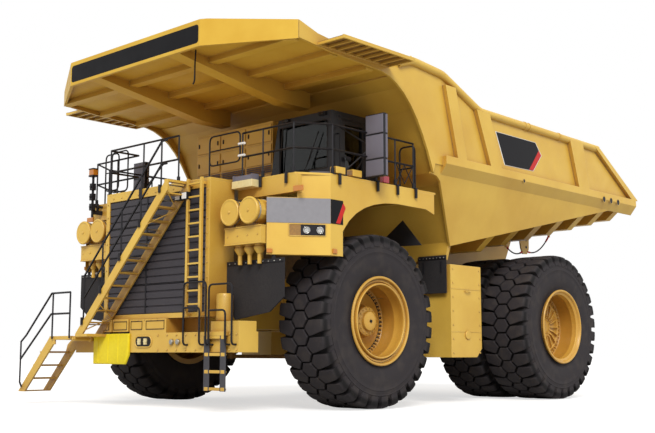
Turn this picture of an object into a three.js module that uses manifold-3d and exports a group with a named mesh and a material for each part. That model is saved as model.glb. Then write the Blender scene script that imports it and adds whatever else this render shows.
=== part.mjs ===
// A rigid-frame mining dump truck: chassis, cab, access stairs, steered front wheels, twin rear
// wheels, telescopic hoists and a tipping body with a canopy over the deck.
// Millimetres, +Z up. The truck faces -Y, and +X is its left side, where the cab stands.
import * as THREE from "three";
import { mergeVertices } from "three/addons/utils/BufferGeometryUtils.js";
import Module from "manifold-3d";

const wasm = await Module();
wasm.setup();

// ---------------------------------------------------------------- driving dimensions
const GAP = 0.3; // left between pieces that touch
const CLEAR = 6; // left between pieces that move past each other

const WHEELBASE = 6600;
const FRONT_AXLE_Y = -3630;
const back = (distance) => FRONT_AXLE_Y + distance; // a place so far behind the front axle
const REAR_AXLE_Y = back(WHEELBASE);

const TYRE_RADIUS = 1793;
const TYRE_WIDTH = 1250;
const TREAD_WIDTH = 1168;
const BEAD_RADIUS = 850;
const ROUND = 30; // flats round a wheel
const PIN_SIDES = 16; // flats round a pin and its bore
const PIN_FIT = 1.5; // a bore's radius over its pin's
const RIM_FLANGE_RADIUS = 921;
const RIM_WALL = 50;
const FRONT_WHEEL_X = 3067;
const REAR_OUTER_X = 3423;
const DUAL_SPACING = 1400;
const FRONT_SPINDLE_RADIUS = 200;
const REAR_SPINDLE_RADIUS = 400;
const RUNNING_GAP = 0.8; // each side of a bearing face
const REAR_RUNNING_GAP = 1.3;

const KINGPIN_X = 1950;
const STRUT_ROD_RADIUS = 150;
const STRUT_BORE_RADIUS = 152;
const STRUT_BORE_TOP = 2950;
const STRUT_BOTTOM = 2120;
const STRUT_RADIUS = 250;
const ARM_LENGTH = 950; // steering arm, back from the kingpin
const TRACK_ROD_Z = 1055;
const ARM_BOTTOM = 1140;

const RAIL_IN = 600; // frame rails, from the middle plane
const RAIL_OUT = 1000;
const RAIL_TOP = 2780;
const RAIL_BOTTOM = 1650;
const RAIL_ARCH = 2480; // the rails' underside over the rear axle

const PIVOT = { y: back(8200), z: 2950, pin: 110 }; // the body's hinge
const HOIST_X = 1250;
const HOIST_FOOT = { y: back(4350), z: 1400 };
const HOIST_HEAD = { y: back(4100), z: 3400 };
const HOIST = { pin: 60, barrel: 165, stage: 125, rod: 85, gap: 0.6, barrelTop: 1700, stageTop: 1780 };

const ENGINE_BOTTOM = 1750;

const DECK_TOP = 4640;
const DECK_SHEET = 45;
const DECK_BOTTOM = DECK_TOP - DECK_SHEET;
const DECK_X = 3800; // half width of the deck
const DECK_FRONT = back(-2250);
const DECK_REAR = back(1750);
const HOOD_X = 1760;
const HOOD_FRONT = back(-3000);
const HOOD_REAR = back(-2350);
const HOOD_BOTTOM = 1850;
const GRILLE_X = 1640;
const GRILLE_BOTTOM = 1950;
const GRILLE_TOP = 4450;
const CORNER_IN_X = 3040; // boxes at the deck's front corners
const CORNER_FRONT = back(-2660);
const CORNER_REAR = back(-1660);
const CORNER_DEPTH = 360; // back from the slanted face
const CORNER_SPLIT_X = 3400; // the taller half begins here
const CORNER_BOTTOM = 3020;
const BUMPER_FRONT = back(-3050);
const BUMPER_BOTTOM = 1150;
const BUMPER_TOP = 1550;
const BUMPER_X = 2720;

const BODY_X = 4000; // outer face of the body's side plates
const SIDE_SHEET = 60;
const SIDE_BEND_Z = 5300; // the sides lean in below this height
const SIDE_LEAN = 0.294; // inwards for each unit down
const FLOOR_FRONT = back(2800);
const FLOOR_TAIL = back(11000);
const FLOOR_SHEET = 70;
const FLOOR_SLOPE = 0.216;
const FLOOR_FRONT_Z = 3580;
const floorZ = (y) => FLOOR_FRONT_Z + FLOOR_SLOPE * (y - FLOOR_FRONT); // underside of the floor
const FLOOR_BEND = FLOOR_FRONT + (SIDE_BEND_Z - FLOOR_FRONT_Z) / FLOOR_SLOPE; // floor at bend height
const BODY_RAIL_IN = 660;
const BODY_RAIL_OUT = 940;

const STAIR_FRONT = back(-3600);
const STAIR_REAR = back(-3050) - 2 * GAP;
const UPPER_RISE = 1; // rise of a stair for each unit along
const LOWER_RISE = 1.06;
const STRINGER = 40;
const RAIL_RADIUS = 22; // handrail tube

// ---------------------------------------------------------------- shapes as solids
/** A closed three.js geometry as a solid, turned right side out. */
function solidFrom(geometry) {
  const bare = new THREE.BufferGeometry();
  bare.setAttribute("position", geometry.getAttribute("position").clone());
  if (geometry.index) bare.setIndex(geometry.index.clone());
  const merged = mergeVertices(bare, 1e-3);
  const p = merged.attributes.position.array;
  const t = new Uint32Array(merged.index.array);
  let volume = 0;
  for (let i = 0; i < t.length; i += 3) {
    const [a, b, c] = [t[i] * 3, t[i + 1] * 3, t[i + 2] * 3];
    volume += p[a] * (p[b + 1] * p[c + 2] - p[b + 2] * p[c + 1]);
    volume += p[a + 1] * (p[b + 2] * p[c] - p[b] * p[c + 2]);
    volume += p[a + 2] * (p[b] * p[c + 1] - p[b + 1] * p[c]);
  }
  if (volume < 0) {
    for (let i = 0; i < t.length; i += 3) [t[i + 1], t[i + 2]] = [t[i + 2], t[i + 1]];
  }
  return new wasm.Manifold(new wasm.Mesh({ numProp: 3, vertProperties: p, triVerts: t }));
}

/** A solid's surface as a three.js geometry. */
function geometryFrom(solid) {
  const mesh = solid.getMesh();
  const positions = new Float32Array(mesh.numVert * 3);
  for (let i = 0; i < mesh.numVert; i++) {
    for (let k = 0; k < 3; k++) positions[i * 3 + k] = mesh.vertProperties[i * mesh.numProp + k];
  }
  const indexed = new THREE.BufferGeometry();
  indexed.setAttribute("position", new THREE.BufferAttribute(positions, 3));
  indexed.setIndex(new THREE.BufferAttribute(new Uint32Array(mesh.triVerts), 1));
  return indexed;
}

/** The same solid on the other side of the truck. */
function mirrored(solid) {
  return solidFrom(geometryFrom(solid).scale(-1, 1, 1));
}

const join = (...solids) => solids.flat().reduce((a, b) => a.add(b));
const cut = (solid, ...tools) => tools.flat().reduce((a, b) => a.subtract(b), solid);

/** A box between two corners, in any order of each pair. */
function box(x0, x1, y0, y1, z0, z1) {
  const g = new THREE.BoxGeometry(Math.abs(x1 - x0), Math.abs(y1 - y0), Math.abs(z1 - z0));
  return solidFrom(g.translate((x0 + x1) / 2, (y0 + y1) / 2, (z0 + z1) / 2));
}

/** A flat outline, as a list of points or a THREE.Shape, drawn out by a depth along local Z. */
function drawn(outline, depth) {
  const shape = Array.isArray(outline)
    ? new THREE.Shape(outline.map(([u, v]) => new THREE.Vector2(u, v)))
    : outline;
  return new THREE.ExtrudeGeometry(shape, { depth, bevelEnabled: false, curveSegments: 8 });
}

/** An outline in (y, z) drawn out along X. */
function alongX(outline, x0, x1) {
  const g = drawn(outline, Math.abs(x1 - x0));
  const turn = new THREE.Matrix4().set(0, 0, 1, Math.min(x0, x1), 1, 0, 0, 0, 0, 1, 0, 0, 0, 0, 0, 1);
  return solidFrom(g.applyMatrix4(turn));
}

/** An outline in (x, z) drawn out along Y. */
function alongY(outline, y0, y1) {
  const g = drawn(outline, Math.abs(y1 - y0));
  const turn = new THREE.Matrix4().set(1, 0, 0, 0, 0, 0, 1, Math.min(y0, y1), 0, 1, 0, 0, 0, 0, 0, 1);
  return solidFrom(g.applyMatrix4(turn));
}

/** An outline in (x, y) drawn out along Z. */
function alongZ(outline, z0, z1) {
  return solidFrom(drawn(outline, Math.abs(z1 - z0)).translate(0, 0, Math.min(z0, z1)));
}

/** A round bar between two points. */
function bar(a, b, radius, sides = 6, endRadius = radius) {
  const from = new THREE.Vector3(...a);
  const to = new THREE.Vector3(...b);
  const g = new THREE.CylinderGeometry(endRadius, radius, from.distanceTo(to), sides);
  const turn = new THREE.Quaternion().setFromUnitVectors(
    new THREE.Vector3(0, 1, 0),
    to.clone().sub(from).normalize(),
  );
  g.applyQuaternion(turn);
  const middle = from.add(to).multiplyScalar(0.5);
  return solidFrom(g.translate(middle.x, middle.y, middle.z));
}

/** A bent round bar through points, with a ball at each bend. */
function tube(points, radius, sides = 4) {
  const runs = points.slice(1).map((p, i) => bar(points[i], p, radius, sides));
  const balls = points.slice(1, -1).map((p) =>
    solidFrom(new THREE.OctahedronGeometry(radius * 1.2, sides > 6 ? 1 : 0).translate(...p)),
  );
  return join(runs, balls);
}

/** A profile of [radius, distance along X] turned round the X axis, a flat side down. */
function turned(profile, sides = ROUND) {
  const points = profile.map(([r, u]) => new THREE.Vector2(r, u));
  const g = new THREE.LatheGeometry(points, sides, Math.PI / sides);
  return solidFrom(g.rotateZ(-Math.PI / 2));
}

// ---------------------------------------------------------------- materials and meshes
const paint = { color: 0xd9ae4e, roughness: 0.45, metalness: 0.1 };
const black = { color: 0x26262a, roughness: 0.6, metalness: 0.1 };
const rubber = { color: 0x3b3638, roughness: 0.9, metalness: 0 };
const steel = { color: 0xa8a8ac, roughness: 0.3, metalness: 0.9 };
const iron = { color: 0x8a6a32, roughness: 0.7, metalness: 0.2 };
const glass = { color: 0x2d3a3a, roughness: 0.05, metalness: 0, opacity: 0.4, transparent: true };
const cloth = { color: 0x35353a, roughness: 0.95, metalness: 0 };

function piece(name, solid, finish) {
  const mesh = new THREE.Mesh(geometryFrom(solid), new THREE.MeshStandardMaterial(finish));
  mesh.name = name;
  return mesh;
}

const truck = new THREE.Group();
const SIDES = [
  ["left", 1],
  ["right", -1],
];
const onSide = (solid, side) => (side > 0 ? solid : mirrored(solid));

// ---------------------------------------------------------------- chassis
function frameRails() {
  const rail = [
    [back(-2550), BUMPER_BOTTOM + 100],
    [back(-2550), HOOD_BOTTOM - GAP],
    [HOOD_REAR + 5, HOOD_BOTTOM - GAP],
    [back(-1500), 2300],
    [back(-900), RAIL_TOP],
    [back(7300), RAIL_TOP],
    [back(7700), 2600],
    [back(8550), 2600],
    [back(8550), 2150],
    [back(7900), 2150],
    [back(7300), RAIL_ARCH],
    [back(5500), RAIL_ARCH],
    [back(4900), 1900],
    [back(4300), RAIL_BOTTOM],
    [back(-1300), RAIL_BOTTOM],
    [back(-1700), BUMPER_BOTTOM + 100],
  ];
  const ear = [
    [back(7750), 2590],
    [back(8540), 2590],
    [back(8450), 3050],
    [back(8300), 3180],
    [back(8100), 3180],
    [back(7950), 3050],
  ];
  const earSheet = 45;
  const half = [
    alongX(rail, RAIL_IN, RAIL_OUT),
    alongX(ear, RAIL_IN, RAIL_IN + earSheet),
    alongX(ear, RAIL_OUT - earSheet, RAIL_OUT),
    bar([RAIL_IN, PIVOT.y, PIVOT.z], [RAIL_OUT, PIVOT.y, PIVOT.z], PIVOT.pin, PIN_SIDES),
  ];
  // beam and housing that hold the front strut, whose bore is open downwards
  half.push(box(RAIL_OUT - 50, KINGPIN_X, back(-220), back(220), STRUT_BOTTOM, 2750));
  half.push(
    bar([KINGPIN_X, FRONT_AXLE_Y, STRUT_BOTTOM], [KINGPIN_X, FRONT_AXLE_Y, 3250], STRUT_RADIUS, 18),
  );
  // foot bracket of the hoist
  const { y, z } = HOIST_FOOT;
  half.push(box(RAIL_OUT - 40, HOIST_X - HOIST.barrel - 15, y - 200, y + 200, z - 220, 2000));
  half.push(box(RAIL_OUT - 40, HOIST_X + 140, y - 150, y + 150, z - 220, z - 150));
  for (const x of [HOIST_X - 140, HOIST_X + 100]) {
    half.push(box(x, x + 40, y - 150, y + 150, z - 220, z + HOIST.pin));
  }
  half.push(bar([HOIST_X - 140, y, z], [HOIST_X + 140, y, z], HOIST.pin, PIN_SIDES));
  // pads that the lowered body rests on
  for (const place of [back(4450), back(6200)]) {
    const padTop = RAIL_TOP + CLEAR - GAP;
    half.push(box(RAIL_IN + 90, RAIL_OUT - 90, place, place + 500, RAIL_TOP - 10, padTop));
  }
  // uprights and outriggers under the deck
  const underDeck = DECK_BOTTOM - GAP;
  const uprightIn = RAIL_IN + 100;
  for (const place of [back(-900), back(1400)]) {
    half.push(box(uprightIn, RAIL_OUT - 100, place, place + 200, RAIL_TOP - 100, underDeck));
  }
  half.push(box(uprightIn, DECK_X - 60, back(1450), back(1550), DECK_BOTTOM - 150, underDeck));
  const bore = bar(
    [KINGPIN_X, FRONT_AXLE_Y, STRUT_BOTTOM - 50],
    [KINGPIN_X, FRONT_AXLE_Y, STRUT_BORE_TOP],
    STRUT_BORE_RADIUS,
    24,
  );
  const left = cut(join(half), bore);
  const reach = RAIL_IN + 50;
  const crossMembers = [
    [-2550, -2350, 1400, HOOD_BOTTOM - GAP],
    [-1700, -1500, 1500, ENGINE_BOTTOM - GAP],
    [1000, 1200, RAIL_BOTTOM, ENGINE_BOTTOM - GAP],
    [2300, 2700, 1800, 2500],
    [4600, 4900, 1800, 2400],
    [7850, 8350, 2200, 2550],
  ].map(([from, to, bottom, top]) => box(-reach, reach, back(from), back(to), bottom, top));
  return join(left, mirrored(left), crossMembers);
}

function bumper() {
  const front = BUMPER_FRONT;
  const hinge = LOWER_STAIR_HINGE;
  const arch = [
    [-BUMPER_X + 20, 1500],
    [-3050, 1500],
    [-3300, 1330],
    [-3380, 1130],
    [-3280, 1130],
    [-3180, 1270],
    [-2990, 1400],
    [-BUMPER_X + 20, 1400],
  ];
  return join(
    box(-BUMPER_X, BUMPER_X, front, back(-2550) - GAP, BUMPER_BOTTOM, BUMPER_TOP),
    box(-730, 500, front, back(-2600), BUMPER_TOP - 10, 1845),
    box(1900, BUMPER_X, front, back(-2600), BUMPER_TOP - 10, 1750),
    alongY(arch, back(-2900), back(-2840)),
    // shelf under the foot of the upper stair, and the pin of the lower stair
    box(STAIR_FOOT.x, -1500, STAIR_FRONT, front + 10, BUMPER_TOP - 60, BUMPER_TOP),
    bar([hinge.x, STAIR_FRONT, hinge.z], [hinge.x, front + 10, hinge.z], hinge.pin, PIN_SIDES),
  );
}

function hoodShroud() {
  const ring = box(-HOOD_X, HOOD_X, HOOD_FRONT, HOOD_REAR, HOOD_BOTTOM, DECK_BOTTOM - GAP);
  const opening = box(-GRILLE_X, GRILLE_X, HOOD_FRONT - 10, HOOD_REAR + 10, GRILLE_BOTTOM, GRILLE_TOP);
  return cut(ring, opening);
}

/** The radiator core, whose front face is the grille. */
function radiatorGrille() {
  return box(
    -GRILLE_X + GAP,
    GRILLE_X - GAP,
    HOOD_FRONT + 40,
    HOOD_REAR - 50,
    GRILLE_BOTTOM + GAP,
    GRILLE_TOP - GAP,
  );
}

function deckPlatform() {
  const outline = [
    [-HOOD_X, HOOD_FRONT],
    [HOOD_X, HOOD_FRONT],
    [HOOD_X, DECK_FRONT],
    [CORNER_SPLIT_X, DECK_FRONT],
    [DECK_X, CORNER_REAR],
    [DECK_X, DECK_REAR],
    [-DECK_X, DECK_REAR],
    [-DECK_X, CORNER_REAR],
    [-CORNER_SPLIT_X, DECK_FRONT],
    [-HOOD_X, DECK_FRONT],
  ];
  return alongZ(outline, DECK_BOTTOM, DECK_TOP);
}

/** Front face of a corner box, which slants back towards the deck's side. */
function cornerY(x) {
  return CORNER_FRONT + ((x - CORNER_IN_X) * (CORNER_REAR - CORNER_FRONT)) / (DECK_X - CORNER_IN_X);
}

function fender() {
  const slab = (x0, z0, z1) =>
    alongZ(
      [
        [x0, cornerY(x0)],
        [DECK_X, CORNER_REAR],
        [DECK_X, CORNER_REAR + CORNER_DEPTH],
        [x0, cornerY(x0) + CORNER_DEPTH],
      ],
      z0,
      z1,
    );
  const skirt = new THREE.Shape();
  skirt.moveTo(CORNER_REAR + 100, CORNER_BOTTOM);
  skirt.lineTo(back(-1500), CORNER_BOTTOM);
  skirt.quadraticCurveTo(back(-1250), 4200, back(400), 4250);
  skirt.lineTo(back(1400), 4240);
  skirt.lineTo(back(1700), 4150);
  skirt.lineTo(back(1700), DECK_BOTTOM - GAP);
  skirt.lineTo(CORNER_REAR + 100, DECK_BOTTOM - GAP);
  return join(
    slab(CORNER_IN_X, CORNER_BOTTOM, 4140),
    slab(CORNER_SPLIT_X, 4100, DECK_BOTTOM - GAP),
    alongX(skirt, DECK_X - 40, DECK_X),
    box(HOOD_X + GAP, CORNER_SPLIT_X + 60, DECK_FRONT, DECK_FRONT + 150, 4250, DECK_BOTTOM - GAP),
  );
}

function mudFlap() {
  const front = back(-2530);
  return alongY(
    [
      [HOOD_X + GAP, 2950],
      [CORNER_IN_X + 10, 2950],
      [CORNER_IN_X + 10, CORNER_BOTTOM - GAP],
      [CORNER_IN_X + 90, CORNER_BOTTOM - GAP],
      [CORNER_IN_X + 90, 2950],
      [3390, 2950],
      [3390, 2200],
      [2990, 1920],
      [2020, 1790],
      [HOOD_X + GAP, 2090],
    ],
    front,
    front + 30,
  );
}

function airCleaners() {
  const [front, rear] = [back(-2900), DECK_FRONT - 10];
  const parts = [2240, 2790].map((x) => bar([x, front, 3880], [x, rear, 3880], 240, 16));
  parts.push(box(HOOD_X + GAP, 2100, back(-2700), back(-2450), 3780, 3960));
  parts.push(box(2200, 2850, back(-2700), back(-2450), 3560, 3760));
  parts.push(box(1990, CORNER_IN_X - 20, back(-2800), back(-2400), 3250, 3580));
  for (const x of [2230, 2510, 2790]) {
    parts.push(bar([x, back(-2600), 3060], [x, back(-2600), 3260], 45, 8, 120));
    parts.push(bar([x, back(-2600), 2860], [x, back(-2600), 3070], 45, 8));
  }
  return join(parts);
}

function sideTank(inner, front, rear) {
  const outer = 3450;
  const body = alongX(
    [
      [front, 1040],
      [rear - 200, 1040],
      [rear, 1240],
      [rear, 3150],
      [front, 3150],
    ],
    inner,
    outer,
  );
  return join(body, box(RAIL_OUT + GAP, inner + 20, back(3100), back(3500), 2000, 2400));
}

function rearAxleHousing() {
  const spindleEnd = REAR_OUTER_X + REAR_HUB_DEPTH - GAP;
  const profile = [
    [0, -10],
    [700, -10],
    [700, 400],
    [600, 560],
    [600, 3030],
    [REAR_SPINDLE_RADIUS - REAR_RUNNING_GAP, 3100],
    [REAR_SPINDLE_RADIUS - REAR_RUNNING_GAP, spindleEnd],
    [0, spindleEnd],
  ];
  const half = solidFrom(geometryFrom(turned(profile)).translate(0, REAR_AXLE_Y, TYRE_RADIUS));
  const nose = alongZ(
    [
      [-150, back(4900) + GAP],
      [150, back(4900) + GAP],
      [450, back(6200)],
      [-450, back(6200)],
    ],
    1800,
    2100,
  );
  const strut = join(
    bar([800, back(7080), 1600], [800, back(7080), 2100], 170, 14),
    bar([800, back(7080), 2090], [800, back(7080), RAIL_ARCH - GAP], 125, 14),
    box(650, 950, back(6900), back(7240), 1450, 1650),
  );
  const left = join(half, strut);
  return join(left, mirrored(left), nose);
}

// ---------------------------------------------------------------- cab
const CAB = { right: 1000, left: 2900, lean: 300, front: back(-650), rear: back(850), top: 6250, wall: 60 };
const DOOR = { front: back(-330), rear: back(450), bottom: 4700, top: 6100, sheet: 50 };
const SILL = 5020;
const HEAD = 6060;
const DOOR_HINGE = { x: CAB.left + 25, y: DOOR.rear - 3, pin: 12 };
const HINGE_HEIGHTS = [4950, 5850];

function cabOutline(inset) {
  const bottom = DECK_TOP + GAP + inset;
  const top = CAB.top - inset;
  const slope = CAB.lean / (CAB.top - DECK_TOP);
  const right = (z) => CAB.right + inset * Math.hypot(1, slope) + slope * (z - DECK_TOP);
  return [
    [right(bottom), bottom],
    [CAB.left - inset, bottom],
    [CAB.left - inset, top],
    [right(top), top],
  ];
}

function cabShell() {
  const outer = alongY(cabOutline(0), CAB.front, CAB.rear);
  const inner = alongY(cabOutline(CAB.wall), CAB.front + CAB.wall, CAB.rear - CAB.wall);
  const windows = [
    box(1330, 2780, CAB.front - 50, CAB.front + 100, SILL, HEAD),
    box(1400, 2700, CAB.rear - 100, CAB.rear + 50, SILL + 200, HEAD),
    box(CAB.right - 100, CAB.right + 500, CAB.front + 200, CAB.rear - 250, SILL, HEAD),
    box(CAB.left - 100, CAB.left + 100, DOOR.front, DOOR.rear, DOOR.bottom, DOOR.top),
  ];
  const { x, y, pin } = DOOR_HINGE;
  const lugs = HINGE_HEIGHTS.flatMap((z) => [
    box(CAB.left - 20, x + 16, y + 6, y + 60, z - 75, z - 40 - GAP),
    bar([x, y, z - 75], [x, y, z - 40 - GAP], 22, 16),
    bar([x, y, z - 75], [x, y, z + 40], pin, 16),
  ]);
  return join(cut(outer, inner, windows), lugs);
}

function cabWindows() {
  const y0 = CAB.front + CAB.wall;
  const y1 = CAB.rear - CAB.wall;
  const sheet = 8;
  const lining = cut(
    alongY(cabOutline(CAB.wall + GAP), y0 + GAP, y1 - GAP),
    alongY(cabOutline(CAB.wall + GAP + sheet), y0 + GAP + sheet, y1 - GAP - sheet),
  );
  return lining.intersect(box(CAB.right, CAB.left - 110, y0, y1, SILL - 60, HEAD + 50));
}

function cabDoor() {
  const panel = box(
    CAB.left - DOOR.sheet - 4,
    CAB.left - 4,
    DOOR.front + CLEAR,
    DOOR.rear - CLEAR,
    DOOR.bottom + CLEAR,
    DOOR.top - CLEAR,
  );
  const window = box(CAB.left - 100, CAB.left + 50, DOOR.front + 100, DOOR.rear - 110, SILL, HEAD - 60);
  const knuckles = HINGE_HEIGHTS.flatMap((z) => [
    bar([DOOR_HINGE.x, DOOR_HINGE.y, z - 40], [DOOR_HINGE.x, DOOR_HINGE.y, z + 40], 24, 16),
    box(CAB.left - 30, DOOR_HINGE.x, DOOR_HINGE.y - 24, DOOR_HINGE.y - 13, z - 40, z + 40),
  ]);
  const pins = HINGE_HEIGHTS.map((z) =>
    bar([DOOR_HINGE.x, DOOR_HINGE.y, z - 60], [DOOR_HINGE.x, DOOR_HINGE.y, z + 60], DOOR_HINGE.pin + 1, 16),
  );
  return cut(join(cut(panel, window), knuckles), pins);
}

function cabDoorWindow() {
  const x = CAB.left - DOOR.sheet - 4;
  return box(x - GAP - 8, x - GAP, DOOR.front + 70, DOOR.rear - 80, SILL - 30, HEAD - 30);
}

function cabInterior() {
  const floor = DECK_TOP + CAB.wall + 2 * GAP;
  const wheel = solidFrom(
    new THREE.TorusGeometry(210, 18, 6, 14).rotateX(-0.5).translate(2000, back(-160), 5480),
  );
  const spokes = bar([1800, back(-160), 5480], [2200, back(-160), 5480], 14);
  return join(
    box(1150, 2820, CAB.front + 100, CAB.rear - 100, floor, floor + 30),
    box(1760, 2240, back(250), back(750), floor, 5150),
    box(1760, 2240, back(650), back(780), 5100, 5850),
    bar([2000, back(-420), floor + 15], [2000, back(-160), 5480], 35, 8),
    wheel,
    spokes,
    box(1400, 1600, back(0), back(700), floor, 5250),
  );
}

// ---------------------------------------------------------------- stairs, ladders, rails
const STAIR_FOOT = { x: -1940, z: BUMPER_TOP };
const LOWER_STAIR_HINGE = { x: -2040, z: 1450, pin: 30 };
const LANDING_END_X = -2920;
const PAD = 8; // the lower handrail stands this far off its stringer, on pads
const LOWER_POSTS = [
  { x: -4000, z: 380 },
  { x: -2800, z: 1450 },
  { x: -2120, z: 1480 },
];

/** Upper edge of the upper stair's stringers at a height. */
const stairX = (z) => STAIR_FOOT.x + (z - STAIR_FOOT.z) / UPPER_RISE;

/** Upper stair in front of the grille, with the small landing at its top. */
function upperStair() {
  const top = DECK_BOTTOM - GAP;
  const base = STAIR_FOOT.z + GAP;
  const along = stairX;
  const depth = 270;
  const end = 1150;
  const outline = [
    [along(base), base],
    [along(base) + depth, base],
    [along(top) + depth, top],
    [along(top), top],
  ];
  const parts = [
    alongY(outline, STAIR_FRONT, STAIR_FRONT + STRINGER),
    alongY(outline, STAIR_REAR - STRINGER, STAIR_REAR),
    box(along(top) - 60, end, STAIR_FRONT, HOOD_FRONT - GAP, top - 50, top),
  ];
  const steps = 11;
  for (let i = 1; i <= steps; i++) {
    const z = base + (i * (top - base)) / (steps + 1);
    const tread = [along(z) + 20, along(z) + depth - 20, STAIR_FRONT + 10, STAIR_REAR - 10];
    parts.push(box(...tread, z - 30, z));
  }
  return join(parts).intersect(box(-2500, end, STAIR_FRONT, HOOD_FRONT, base, top));
}

/** Lower stair and landing, which swing up together about the landing's inner edge. */
function lowerStair() {
  const { x, z } = LOWER_STAIR_HINGE;
  const [front, rear] = [STAIR_FRONT, BUMPER_FRONT - 25];
  const foot = 270;
  const run = (z - foot) / LOWER_RISE;
  const end = LANDING_END_X;
  const outline = [
    [end + 180, z + 60],
    [end, z + 60],
    [end - run - 150, foot],
    [end - run + 120, foot],
    [end + 120, z - 120],
    [end + 180, z - 120],
  ];
  const parts = [
    alongY(outline, front, front + STRINGER),
    alongY(outline, back(-2960), back(-2960) + STRINGER),
    box(end - 20, end + 180, front, back(-2960) + STRINGER, z + 20, z + 60),
    box(end + 20, x - 80, front, rear, z - 20, z + 60),
    box(x - 90, x - 20, front + 20, rear, z - 20, z + 20),
    bar([x, front + 20, z], [x, BUMPER_FRONT - GAP, z], 55, PIN_SIDES),
  ];
  for (let i = 1; i <= 4; i++) {
    const h = z - i * ((z - foot) / 4);
    const u = end - (z - h) / LOWER_RISE;
    parts.push(box(u - 130, u + 90, front + 10, back(-2960) + 10, h + (i === 4 ? 0 : -15), h + 25));
  }
  for (const post of LOWER_POSTS) {
    parts.push(
      box(post.x - 30, post.x + 30, front - PAD, front + 10, post.z - 30, post.z + 30),
    );
  }
  const bore = bar([x, front - 50, z], [x, rear + 50, z], LOWER_STAIR_HINGE.pin + 1, PIN_SIDES);
  return cut(join(parts), bore);
}

function lowerStairHandrail() {
  const y = STAIR_FRONT - PAD - GAP - RAIL_RADIUS;
  const r = RAIL_RADIUS;
  const [foot, middle, inner] = LOWER_POSTS;
  const outer = -4080;
  const top = 2460;
  const rail = [
    [foot.x, y, foot.z],
    [outer, y, 480],
    [outer, y, 1400],
    [-3870, y, 1540],
    [-2860, y, top],
    [inner.x, y, top],
    [inner.x, y, inner.z - 20],
  ];
  return join(
    tube(rail, r),
    bar([middle.x, y, middle.z], [middle.x, y, top], r, 4),
    tube([[outer, y, 1000], [-2860, y, 2000], [inner.x, y, 2000]], r),
  );
}

function frontLadder() {
  const [y0, y1] = [back(-3130), back(-3075)];
  const parts = [];
  for (const x of [1170, 1590]) {
    parts.push(box(x, x + 60, y0, y1, 1860, DECK_TOP));
    for (const z of [1870, 4500]) parts.push(box(x, x + 60, y0, HOOD_FRONT - GAP, z, z + 60));
  }
  for (let z = 2100; z < DECK_BOTTOM; z += 270) {
    parts.push(bar([1180, (y0 + y1) / 2, z], [1640, (y0 + y1) / 2, z], 20, 5));
  }
  return join(parts);
}

function bumperLadder() {
  const [y0, y1] = [BUMPER_FRONT - 60, BUMPER_FRONT - GAP];
  const [left, right, strap] = [2240, 1760, 160];
  const parts = [right, left].map((x) => box(x, x + strap, y0, y1, 400, BUMPER_TOP));
  for (const z of [430, 760, 1090, 1420]) {
    parts.push(bar([right + 10, (y0 + y1) / 2, z], [left + strap - 10, (y0 + y1) / 2, z], 24, 5));
  }
  return join(parts);
}

/** Posts with a top and a middle rail along a line on the deck. */
function railing(points, base, posts) {
  const h = 1000;
  const up = (p, z) => [p[0], p[1], z];
  const parts = [
    tube(points.map((p) => up(p, base + h)), RAIL_RADIUS),
    tube(points.map((p) => up(p, base + h / 2)), RAIL_RADIUS),
  ];
  for (const p of posts) parts.push(bar(up(p, base + GAP), up(p, base + h), RAIL_RADIUS, 4));
  return join(parts);
}

const EDGE = 40; // handrails stand this far inside the deck's edge
const MIRROR = { in: DECK_X - 80, out: DECK_X + 400, bottom: 4700, top: 6000 };
const RAILING_REAR = back(1020);

function deckHandrailLeft() {
  const line = [
    [HOOD_X + 80, DECK_FRONT + EDGE],
    [CORNER_SPLIT_X - 80, DECK_FRONT + EDGE],
    [DECK_X - EDGE, CORNER_REAR + 100],
    [DECK_X - EDGE, RAILING_REAR],
  ];
  const posts = [
    line[0],
    [2450, DECK_FRONT + EDGE],
    line[1],
    line[2],
    [DECK_X - EDGE, back(-250)],
    [DECK_X - EDGE, back(400)],
    line[3],
  ];
  return join(railing(line, DECK_TOP, posts), mirror());
}

function mirror() {
  const y = back(-450);
  return box(MIRROR.in, MIRROR.out, y - 60, y + 60, MIRROR.bottom, MIRROR.top);
}

function deckHandrailRight() {
  const left = [
    [-HOOD_X + 60, HOOD_FRONT + EDGE],
    [700, HOOD_FRONT + EDGE],
  ];
  const line = [
    left[1],
    left[0],
    [-HOOD_X + 60, DECK_FRONT + EDGE],
    [-CORNER_SPLIT_X + 80, DECK_FRONT + EDGE],
    [-DECK_X + EDGE, CORNER_REAR + 100],
    [-DECK_X + EDGE, RAILING_REAR],
  ];
  const posts = [
    left[1],
    [-500, HOOD_FRONT + EDGE],
    left[0],
    [-2500, DECK_FRONT + EDGE],
    line[3],
    line[4],
    [-DECK_X + EDGE, back(-250)],
    [-DECK_X + EDGE, back(400)],
    line[5],
  ];
  return join(railing(line, DECK_TOP, posts), mirrored(mirror()));
}

/** Handrail of the upper stair, on its front stringer. */
function stairHandrail() {
  const y = STAIR_FRONT + STRINGER - RAIL_RADIUS + 12;
  const [first, last] = [1800, 4400];
  const parts = [];
  for (const lift of [1000, 520]) {
    const run = [
      [stairX(first), y, first + lift],
      [stairX(last), y, last + lift],
      [stairX(last) + 180, y, last + lift],
    ];
    parts.push(tube(run, RAIL_RADIUS));
  }
  for (let i = 0; i <= 4; i++) {
    const z = first + (i * (last - first)) / 4;
    parts.push(bar([stairX(z), y, z - 80], [stairX(z), y, z + 1000], RAIL_RADIUS, 4));
  }
  // the posts end on the stringer's sloping edge
  const slope = 2 * GAP;
  const below = alongY(
    [
      [stairX(1500) - slope, 1500],
      [stairX(5000) - slope, 5000],
      [stairX(5000), 1500],
    ],
    STAIR_FRONT - 50,
    STAIR_FRONT + 100,
  );
  const stair = box(-3000, 3000, STAIR_FRONT - 50, STAIR_FRONT + 90, 1400, last + 90);
  return cut(join(parts), below.intersect(stair));
}

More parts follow.
